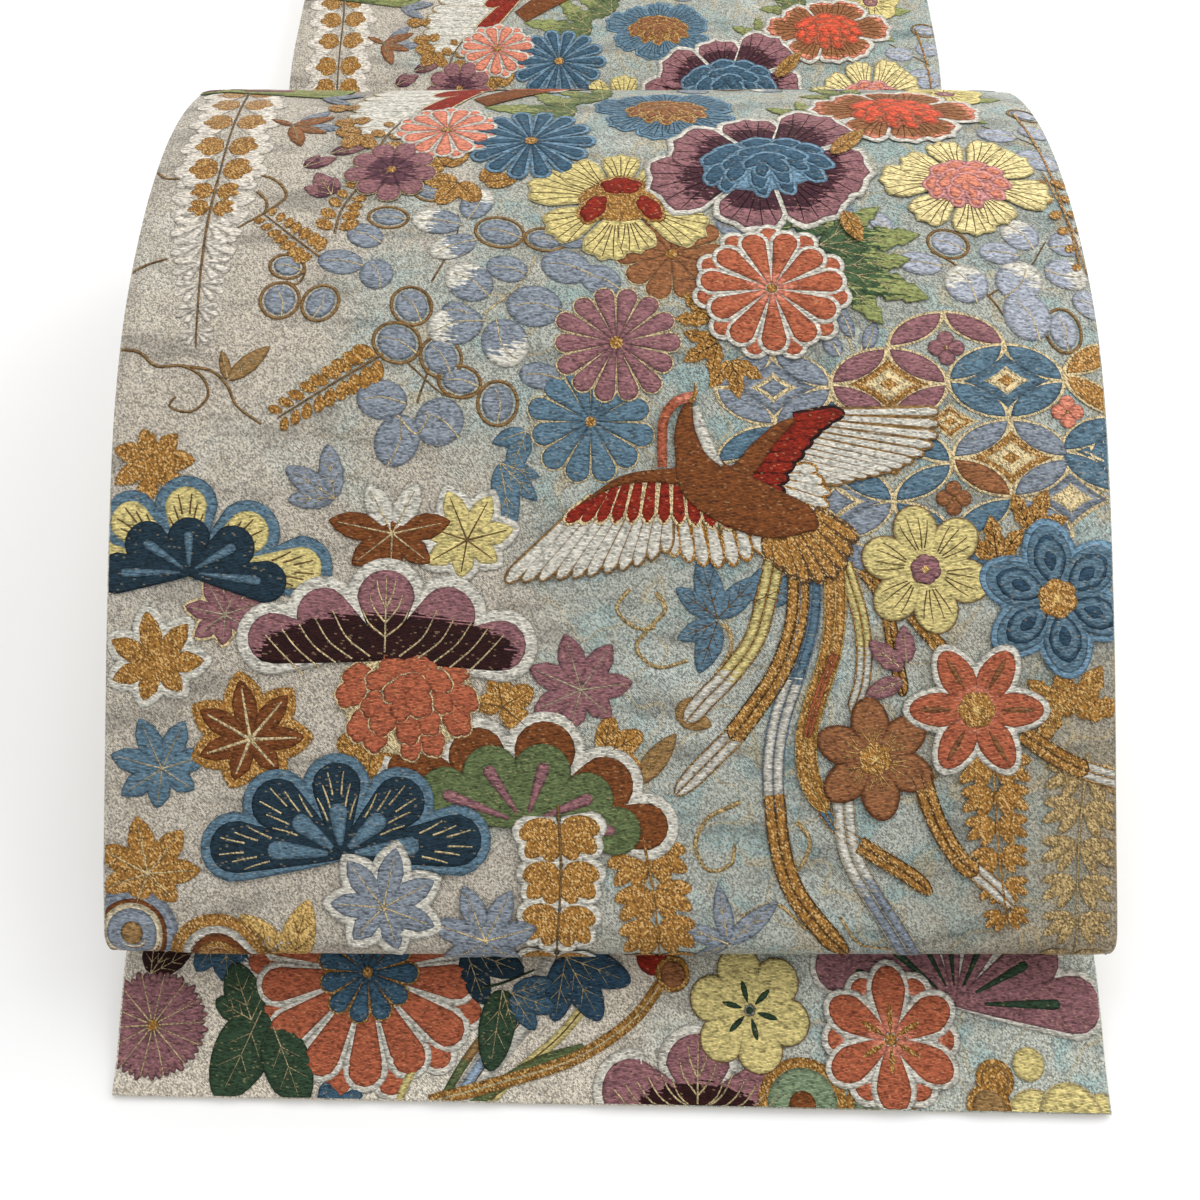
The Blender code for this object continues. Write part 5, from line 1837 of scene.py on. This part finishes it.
@dataclass(frozen=True)
class GiltThread(Finish):
    """Gilt thread: slanted grains, dark, ochre and bright, with a metal's gloss."""

    name: str = "gilt_thread"
    roughness: float = 0.4
    metallic: float = 0.35
    relief: float = 0.00026

    def look(self, nodes: Nodes, cloth: Socket) -> tuple[Socket, Socket]:
        """Grains are slanted cells of white noise that darken or brighten the areas' tint.

        Args:
            nodes: The material's nodes.
            cloth: The cloth's coordinates.

        Returns:
            The colour, and the height of the relief.
        """
        tint, inside = nodes.carried("tint", "inside")
        grain, _, ridge = nodes.group(slanted_grains, cloth, 0.0009, 0.00056, 1.1)
        light = nodes.total(0.08, (grain, 1.5), (ridge, 0.36))
        shadow = nodes.total(0.66, (nodes.step(inside["Fac"], 0, 0.75), 0.34))
        colour = nodes.lit(tint["Color"], nodes.times(light, shadow))
        glint = nodes.step(grain, 0.8, 0.86)
        colour = nodes.tinted(colour, glint, 0.55, 0.76, 0.56, 0.26)
        return colour, nodes.total(inside["Fac"], (grain, 0.6), (ridge, 0.5))


@dataclass(frozen=True)
class LameGround(Finish):
    """The brocade's ground: a fine twill of silver, grey and gilt grains in cloudy zones."""

    name: str = "lame_ground"
    roughness: float = 0.42
    metallic: float = 0.15

    def look(self, nodes: Nodes, cloth: Socket) -> tuple[Socket, Socket]:
        """Grains are slanted cells between twill lines; clouds and the place tint them.

        Args:
            nodes: The material's nodes.
            cloth: The cloth's coordinates.

        Returns:
            The colour, and the height of the relief.
        """
        place = nodes.new("SeparateXYZ", {0: cloth}).outputs
        grain, second, ridge = nodes.group(slanted_grains, cloth, 0.00076, 0.0005, 0.9)
        cloud = nodes.noise(cloth, 15, 5)
        stretched = nodes.vector(nodes.times(place[0], 26), nodes.times(place[1], 90))
        brush, mottle = nodes.noise(stretched, 1, 5), nodes.noise(cloth, 75, 6)
        lean = nodes.ramp(place[1], 0.35, 0.6, -0.05, 0.04)
        side = nodes.total(place[0], (nodes.maths("SUBTRACT", cloud, 0.5), 0.34))
        cool = nodes.step(nodes.maths("ADD", side, lean), 0.075, 0.175)
        zone = nodes.blend(cool, (0.44, 0.395, 0.325, 1), (0.33, 0.345, 0.3, 1))
        green = nodes.times(nodes.step(mottle, 0.47, 0.62), cool)
        zone = nodes.tinted(zone, green, 0.7, 0.2, 0.3, 0.295)
        pale = nodes.step(nodes.total(cloud, (mottle, 0.5)), 0.76, 0.98)
        zone = nodes.tinted(zone, pale, 0.42, 0.6, 0.575, 0.5)
        warm = nodes.total(place[0], (cloud, 0.14))
        low = nodes.maths("SUBTRACT", nodes.step(place[1], 0.1, 0.12),
                          nodes.step(place[1], 0.455, 0.52))
        warm = nodes.times(nodes.step(warm, 0.3, 0.375), low)
        zone = nodes.tinted(zone, warm, 0.75, 0.27, 0.19, 0.1)
        paler = nodes.ramp(place[1], 0.1, 0.12, 1.3, 1)
        zone = nodes.lit(zone, nodes.total(paler, (nodes.step(brush, 0.5, 0.66), -0.34)))
        contour = nodes.maths("ABSOLUTE", nodes.maths("SUBTRACT", nodes.noise(cloth, 42, 1.5), 0.5))
        scroll = nodes.maths("SUBTRACT", 1, nodes.step(contour, 0.006, 0.02))
        zone = nodes.tinted(zone, nodes.times(scroll, cool), 0.34, 0.4, 0.29, 0.12)
        light = nodes.total(-0.04, (nodes.step(ridge, 0.15, 0.75), 0.66), (grain, 1.22))
        colour = nodes.lit(zone, light)
        gilt = nodes.maths("LESS_THAN", second, 0.14)
        colour = nodes.tinted(colour, gilt, 0.45, 0.36, 0.25, 0.11)
        return colour, nodes.total(ridge, (mottle, 0.6))


@dataclass(frozen=True)
class PlainCloth(Finish):
    """Plain woven silk in one colour, for the back cloth and the folded layers."""

    name: str = "back_cloth"
    roughness: float = 0.62
    sheen: float = 0.2
    tint: Silk = Silk.CREAM

    def look(self, nodes: Nodes, cloth: Socket) -> tuple[Socket, Socket]:
        """Rows of thread lighten and darken the colour a little, with slubs here and there.

        Args:
            nodes: The material's nodes.
            cloth: The cloth's coordinates.

        Returns:
            The colour, and the height of the relief.
        """
        _, streak, ridge, _ = nodes.group(thread_rows, cloth, 0.0005, 0.02, 0.006)
        light = nodes.total(0.78, (streak, 0.3), (ridge, 0.1), (nodes.noise(cloth, 22, 3), 0.16))
        return nodes.lit(self.tint.linear, light), nodes.total(streak, (ridge, 0.7))


class Workroom:
    """The finished materials, each made once."""

    def __init__(self) -> None:
        """Builds every finish."""
        self.silk, self.gilt, self.ground, self.back, self.stitch = (
            finish.build() for finish in (
                SilkFloats(), GiltThread(), LameGround(), PlainCloth(),
                PlainCloth("stitch_thread", 0.5, tint=Silk.SILVER)))


# ---------------- meshes
def grid_faces(rows: int, columns: int, start: int = 0, around: bool = False) -> Grid:
    """Faces of a grid of points, row by row, closed across its columns where it goes round.

    Args:
        rows: Rows of points.
        columns: Points in a row.
        start: Number of the first point.
        around: Whether the last column joins the first.

    Returns:
        Four point numbers a face.
    """
    across = np.arange(columns if around else columns - 1)
    row, column = np.meshgrid(np.arange(rows - 1), across, indexing="ij")
    corner = start + row * columns + column
    beside = start + row * columns + (column + 1) % columns
    faces = np.stack([corner, beside, beside + columns, corner + columns], axis=-1)
    return faces.reshape(-1, 4)


def make_piece(name: str, points: Grid, faces: list, cloth: Grid, materials: list,
               chosen: Grid | None = None) -> bpy.types.Object:
    """Makes a finished piece that rides on the object's body.

    Args:
        name: The piece's name.
        points: Its places in the frame.
        faces: Lists of point numbers.
        cloth: Each point's place on the cloth, across and along, in metres.
        materials: Its materials.
        chosen: Each face's material, as a place in that list, or None for the first.

    Returns:
        The piece's object.
    """
    mesh = bpy.data.meshes.new(name)
    mesh.from_pydata(points.tolist(), [], [list(face) for face in faces])
    for material in materials:
        mesh.materials.append(material)
    if chosen is not None:
        mesh.polygons.foreach_set("material_index", np.asarray(chosen, np.int32))
    corners = np.empty(len(mesh.loops), np.int32)
    mesh.loops.foreach_get("vertex_index", corners)
    layer = mesh.uv_layers.new(name=UV_NAME)
    layer.data.foreach_set("uv", cloth[corners].astype(np.float32).ravel())
    mesh.shade_smooth()
    obj = bpy.data.objects.new(name, mesh)
    bpy.context.scene.collection.objects.link(obj)
    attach(obj, BODY)
    log.info("%s: %d points, %d faces", name, len(mesh.vertices), len(mesh.polygons))
    return obj


def close_poles(obj: bpy.types.Object) -> None:
    """Merges the points that meet at petals' tips and cut edges.

    Args:
        obj: The piece.
    """
    shape = bmesh.new()
    shape.from_mesh(obj.data)
    bmesh.ops.remove_doubles(shape, verts=shape.verts, dist=2e-6)
    shape.to_mesh(obj.data)
    shape.free()


# ---------------- sub-assemblies
@dataclass
class ClothStretch:
    """A stretch of the sash as a closed shell: face, back, rolled edges and rounded ends."""

    name: str
    sash: Sash
    start: float
    end: float
    row_step: float = 0.0016
    columns: int = 66
    rests_on: tuple = ()

    ROLL_DEG = (67.5, 45, 22.5, 0, -22.5, -45, -67.5)
    END_DEG = (14, 40, 66, 90)

    def section(self) -> tuple[Grid, Grid, int]:
        """Places across and offsets once round the wall: face, right roll, back, left roll.

        Returns:
            Both, and the number of places in a roll.
        """
        half, roll = self.sash.form.width / 2, self.sash.form.thickness / 2
        flat = np.linspace(-1, 1, self.columns) * (half - roll)
        turn = np.radians(self.ROLL_DEG)
        right = half - roll + roll * np.cos(turn)
        across = np.concatenate([flat, right, flat[::-1], -right[::-1]])
        offset = np.concatenate([np.full(self.columns, roll), roll * np.sin(turn),
                                 np.full(self.columns, -roll), roll * np.sin(turn[::-1])])
        return across, offset, len(turn)

    def build(self, room: Workroom) -> bpy.types.Object:
        """Sweeps the section along the stretch, flat where it joins the next, else rounded.

        Args:
            room: The finished materials.

        Returns:
            The stretch's piece, which stands for its node.
        """
        roll, first, last = self.sash.form.thickness / 2, self.start, self.end
        turn = np.radians(self.END_DEG)
        rows = np.linspace(first + roll, last - roll, int((last - first) / self.row_step))[1:-1]
        along = np.concatenate([first + roll * (1 - np.cos(turn)), rows,
                                last - roll * (1 - np.cos(turn[::-1]))])
        share = np.concatenate([np.sin(turn) if first <= 0 else 0 * turn + 1, np.ones(len(rows)),
                                np.sin(turn[::-1]) if last >= self.sash.end else 0 * turn + 1])
        across, offset, rolls = self.section()
        points = self.sash.surface(np.tile(across, (len(along), 1)),
                                   np.repeat(along[:, None], len(across), 1),
                                   share[:, None] * offset[None, :])
        cloth = np.stack(np.broadcast_arrays(across[None, :] + self.sash.form.width / 2,
                                             along[:, None]), -1).reshape(-1, 2)
        around = len(across)
        faces = grid_faces(len(along), around, around=True)[:, ::-1].tolist()
        shown = np.arange(around)
        back = (shown >= self.columns + rolls // 2) & (shown < around - rolls // 2 - 1)
        chosen = np.tile(back.astype(int), len(along) - 1).tolist() + [0, 0]
        last_ring = (len(along) - 1) * around
        faces += [list(range(around)), [last_ring + place for place in reversed(range(around))]]
        piece = make_piece(f"{self.name}_cloth", points.reshape(-1, 3), faces, cloth,
                           [room.ground, room.back], chosen)
        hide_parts(self.name)
        return piece


@dataclass
class FoldedLength:
    """The rest of the sash, folded flat: soft-edged layers with a groove between neighbours."""

    form: SashForm
    pitch: float = 0.0023
    corner: float = 0.003
    groove: float = 0.001
    layers: tuple = ((0, 0.004, -0.0004), (0, 0.0, -0.0012),
                     (-0.004, 0.0, 0.0001), (-0.004, -0.0014, -0.0006),
                     (-0.009, -0.0014, -0.0014), (-0.009, 0.001, -0.0002),
                     (-0.016, 0.001, 0.0001), (-0.016, -0.006, -0.0009),
                     (-0.037, -0.006, -0.0001), (-0.037, -0.01, -0.0006))
    shares: tuple = (0.02, 0.1, 0.24, 0.4, 0.6, 0.76, 0.9, 0.98)
    places: tuple = (34, 40)

    CORNERS = ((1, -1), (1, 1), (-1, 1), (-1, -1), (1, -1))

    def ring(self, height: Grid, layer: Grid, share: Grid) -> tuple[Grid, Grid]:
        """Places across and along once round the pile, for every level at once.

        A fold of two layers stands back as a half circle, and a layer's side edge as the fourth
        power of its share from the layer's middle. The outline is a rectangle drawn in by the
        corner's radius, with that radius added along its normal.

        Args:
            height: Heights of the levels.
            layer: Each level's near end, far end and right side, as they stand out.
            share: Each level's share of its layer's height.

        Returns:
            Two arrays, a row for each level.
        """
        form, half = self.form, self.form.width / 2
        fold = [self.pitch - np.sqrt(self.pitch ** 2 - ((height + shift) % (2 * self.pitch)
                                                        - self.pitch) ** 2)
                for shift in (0, self.pitch)]
        near = form.folded_start - layer[:, 0] + fold[0]
        far = form.folded_end + layer[:, 1] - fold[1]
        dent = self.groove * (2 * share - 1) ** 4
        right, left = half + layer[:, 2] - dent, layer[:, 2] + dent - half
        place, angle = [], []
        for quarter, (first, last) in enumerate(zip(self.CORNERS, self.CORNERS[1:])):
            count = self.places[quarter % 2]
            place += [np.linspace(first, last, count), np.tile(last, (3, 1))]
            angle += [90 * quarter] * count + [90 * quarter + turn for turn in (22.5, 45, 67.5)]
        place, angle = np.vstack(place), np.radians(angle)
        ends = ((left, right, place[:, 0], np.cos(angle)), (near, far, place[:, 1], np.sin(angle)))
        return tuple(((low + high) / 2)[:, None] + self.corner * normal
                     + ((high - low) / 2 - self.corner)[:, None] * part
                     for low, high, part, normal in ends)

    def build(self, sash: Sash, room: Workroom) -> bpy.types.Object:
        """Builds the pile as rings, closed below and above.

        Args:
            sash: The sash.
            room: The finished materials.

        Returns:
            The piece.
        """
        share = np.tile(self.shares, len(self.layers))
        index = np.repeat(np.arange(len(self.layers)), len(self.shares))
        height = (index + share) * self.pitch
        height[0] = 0.0
        across, along = self.ring(height, np.array(self.layers)[index], share)
        wave = 0.00025 * np.sin(along / 0.021 + index[:, None] * 1.7) * np.sign(across)
        drift = self.form.run_drift * (along - self.form.drift_start)
        points = sash.to_world(across - wave + drift, along, height[:, None] + 0 * along)
        levels, around = across.shape
        faces = grid_faces(levels, around, around=True).tolist()
        faces += [list(range(around))[::-1],
                  [(levels - 1) * around + place for place in range(around)]]
        measure = np.stack([across + self.form.width / 2, along + height[:, None]], -1)
        chosen = np.repeat((index[:-1] // 2) % 2, around).tolist() + [1, 0]
        piece = make_piece("folded_layers", points.reshape(-1, 3), faces, measure.reshape(-1, 2),
                           [room.ground, room.back], chosen)
        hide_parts("folded_length")
        return piece


@dataclass
class Figures:
    """The woven figures on one stretch of the cloth, a piece for each family."""

    name: str
    sash: Sash
    families: dict
    window: tuple
    shift: float = 0.0
    base_lift: float = 0.15
    level_lift: float = 0.045
    rim_drop: float = 0.035
    margin: float = 0.9

    def build(self, room: Workroom) -> list[bpy.types.Object]:
        """Weaves each family and lays its areas on the cloth.

        Args:
            room: The finished materials.

        Returns:
            A piece for each family that shows on this stretch.
        """
        pieces = []
        for family, figures in self.families.items():
            weaver = Weaver()
            for figure in figures:
                figure.weave(weaver)
            piece = self.lay(f"{self.name}_{family}", weaver.patches, room)
            if piece:
                pieces.append(piece)
        return pieces

    def lay(self, name: str, patches: list[Patch], room: Workroom) -> bpy.types.Object | None:
        """Lays areas on the cloth as one piece.

        Places past the cloth's edges or the window are drawn in to them, and faces that this
        closes up are left out. An area's lift is its level's, less a little at its rim.

        Args:
            name: The piece's name.
            patches: The areas.
            room: The finished materials.

        Returns:
            The piece, or None where nothing is left of it.
        """
        edge = self.sash.form.width / 2 / MM - self.margin
        low, high = self.window
        patches = [patch for patch in patches if patch.along.max() + self.shift > low
                   and patch.along.min() + self.shift < high and np.abs(patch.across).min() < edge]
        if not patches:
            return None
        sizes = np.array([patch.across.size for patch in patches])
        starts = np.concatenate([[0], np.cumsum(sizes)[:-1]])
        across, along, inside, mix = (
            np.concatenate([getattr(patch, part).ravel() for patch in patches])
            for part in ("across", "along", "inside", "mix"))
        level = np.repeat([patch.level for patch in patches], sizes)
        lift = self.base_lift + self.level_lift * level - self.rim_drop * (1 - inside)
        flat_across = np.clip(across, -edge, edge)
        flat_along = np.clip(along + self.shift, low, high)
        faces = np.vstack([grid_faces(*patch.across.shape, start=start)
                           for patch, start in zip(patches, starts)])
        gilt = np.concatenate([np.full((patch.across.shape[0] - 1) * (patch.across.shape[1] - 1),
                                       int(patch.thread.gilt)) for patch in patches])
        corners = np.stack([flat_across[faces], flat_along[faces]], -1)
        spans = corners[:, 2] - corners[:, 0], corners[:, 3] - corners[:, 1]
        area = spans[0][:, 0] * spans[1][:, 1] - spans[0][:, 1] * spans[1][:, 0]
        kept = np.abs(area) > 1e-3
        turned = area < 0
        faces[turned] = faces[turned][:, ::-1]
        if not kept.any():
            return None
        roll = self.sash.form.thickness / 2
        points = self.sash.surface(flat_across * MM, flat_along * MM, roll + lift * MM)
        cloth = np.stack([flat_across * MM + self.sash.form.width / 2, flat_along * MM], -1)
        piece = make_piece(name, points, faces[kept].tolist(), cloth, [room.silk, room.gilt],
                           gilt[kept])
        tints = np.repeat([patch.thread.tint.linear for patch in patches], sizes, axis=0)
        shades = np.repeat([(patch.thread.shade or patch.thread.tint).linear
                            for patch in patches], sizes, axis=0)
        for label, kind, values in (("tint", "FLOAT_COLOR", tints), ("shade", "FLOAT_COLOR", shades),
                                    ("mix", "FLOAT", mix), ("inside", "FLOAT", inside)):
            attribute = piece.data.attributes.new(label, kind, "POINT")
            attribute.data.foreach_set("value" if kind == "FLOAT" else "color",
                                       values.astype(np.float32).ravel())
        close_poles(piece)
        return piece


@dataclass
class BlindStitches:
    """Short stitches along both edges of a stretch, where face and back are sewn together."""

    name: str
    sash: Sash
    start: float
    end: float
    inset: float = 0.0021
    pitch: float = 0.0042
    length: float = 0.0013
    radius: float = 0.00028

    def build(self, room: Workroom) -> bpy.types.Object:
        """Lays the stitches: each a half tube whose radius is a half circle along it.

        Args:
            room: The finished materials.

        Returns:
            The piece.
        """
        middles = np.arange(self.start + self.pitch, self.end - self.pitch, self.pitch)
        edge = self.sash.form.width / 2 - self.inset
        t = np.array([-1.0, -0.6, 0.0, 0.6, 1.0])
        turn = np.radians([-90.0, -30.0, 30.0, 90.0])
        radius = self.radius * np.sqrt(1 - 0.98 * t ** 2)
        shape = (2, len(middles), len(t), len(turn))
        side = np.array([-1.0, 1.0])[:, None, None, None]
        wander = 0.00025 * np.sin(np.arange(len(middles)) * 2.3)[None, :, None, None]
        across = side * edge + wander + radius[:, None] * np.sin(turn)[None, :]
        along = middles[None, :, None, None] + t[:, None] * self.length / 2 + 0 * across
        offset = self.sash.form.thickness / 2 + 0.00005 + radius[:, None] * np.cos(turn)
        points = self.sash.surface(np.broadcast_to(across, shape), along,
                                   np.broadcast_to(offset, shape))
        size = len(t) * len(turn)
        one = grid_faces(len(t), len(turn))[:, ::-1]
        faces = (one[None] + size * np.arange(2 * len(middles))[:, None, None]).reshape(-1, 4)
        cloth = np.stack([np.broadcast_to(across, shape) + self.sash.form.width / 2, along], -1)
        return make_piece(f"{self.name}_stitches", points.reshape(-1, 3), faces.tolist(),
                          cloth.reshape(-1, 2), [room.stitch])


# ---------------- the studio
@dataclass(frozen=True)
class Studio:
    """Camera, floor and soft light."""

    eye: tuple = (-0.0064, -0.374, 0.4025)
    tilt_deg: float = 29.0
    lens: float = 36.0
    lamps: tuple = (("key", 10.0, (-0.25, 0.75, 1.15), 1.3),
                    ("side_light", 5.2, (0.66, 0.2, 0.58), 0.8))
    ambient: float = 0.73
    aim: float = 0.05

    def build(self) -> None:
        """Adds the camera, a large key light, a side light, an even surround and the floor."""
        scene = bpy.context.scene
        scene.view_settings.view_transform = "Standard"
        camera = bpy.data.cameras.new("camera")
        camera.lens = self.lens
        scene.camera = self.placed("camera", camera, self.eye, math.radians(self.tilt_deg))
        for name, power, place, size in self.lamps:
            lamp = bpy.data.lights.new(name, "AREA")
            lamp.energy, lamp.size = power, size
            x, y, z = place
            light = self.placed(name, lamp, place, math.atan2(math.hypot(x, y), z - self.aim),
                                math.atan2(y, x) + math.pi / 2)
            light.visible_camera = False
        scene.world = bpy.data.worlds.new("surround")
        scene.world.use_nodes = True
        surround = scene.world.node_tree.nodes["Background"].inputs
        surround[0].default_value, surround[1].default_value = (1, 1, 1, 1), self.ambient
        material = bpy.data.materials.new("pale_floor")
        material.use_nodes = True
        shader = material.node_tree.nodes["Principled BSDF"].inputs
        shader["Base Color"].default_value = (0.92, 0.92, 0.92, 1)
        shader["Roughness"].default_value = 0.9
        mesh = bpy.data.meshes.new("floor")
        mesh.from_pydata([(-4, -4, 0), (4, -4, 0), (4, 4, 0), (-4, 4, 0)], [], [(0, 1, 2, 3)])
        mesh.materials.append(material)
        self.placed("floor", mesh, (0, 0, -0.0002))

    @staticmethod
    def placed(name: str, data: bpy.types.ID, place: tuple, tilt: float = 0.0,
               turn: float = 0.0) -> bpy.types.Object:
        """Adds an object to the scene.

        Args:
            name: Its name.
            data: Its camera, light or mesh.
            place: Where it stands.
            tilt: Its turn about x in radians.
            turn: Its turn about z in radians.

        Returns:
            The object.
        """
        obj = bpy.data.objects.new(name, data)
        obj.location, obj.rotation_euler = place, (tilt, 0, turn)
        bpy.context.scene.collection.objects.link(obj)
        return obj



def main() -> None:
    """Builds the sash, stretch by stretch, with its figures and stitches, and the studio."""
    logging.basicConfig(level=logging.INFO, format="%(name)s %(message)s")
    form = SashForm()
    sash = Sash(form)
    room = Workroom()
    Studio().build()
    stretches = (
        ClothStretch("flap", sash, 0.0, sash.drum_start, rests_on=("under_fold",)),
        ClothStretch("drum", sash, sash.drum_start, sash.return_start, rests_on=("flap",)),
        ClothStretch("under_fold", sash, sash.return_start, sash.run_start, 0.003, 40),
        ClothStretch("away_run", sash, sash.run_start, sash.end,
                     rests_on=("folded_length", "under_fold")),
    )
    cloths = {stretch.name: stretch.build(room) for stretch in stretches}
    FoldedLength(form).build(sash, room)
    drum_top = sash.return_start / MM - 4
    figures = {
        "flap": Figures("flap", sash, TAIL_FAMILIES, (0.5, 84)).build(room),
        "drum": Figures("drum", sash, DRUM_FAMILIES, (374, drum_top)).build(room),
        "away_run": Figures("run", sash, DRUM_FAMILIES, (sash.run_start / MM + 3,
                            sash.end / MM - 30), PATTERN_REPEAT).build(room),
        "under_fold": [],
    }
    for stretch in stretches:
        if stretch.name != "under_fold":
            end = 0.1 if stretch.name == "flap" else stretch.end
            figures[stretch.name].append(BlindStitches(stretch.name, sash, stretch.start,
                                                       end).build(room))


if __name__ == "__main__":
    main()
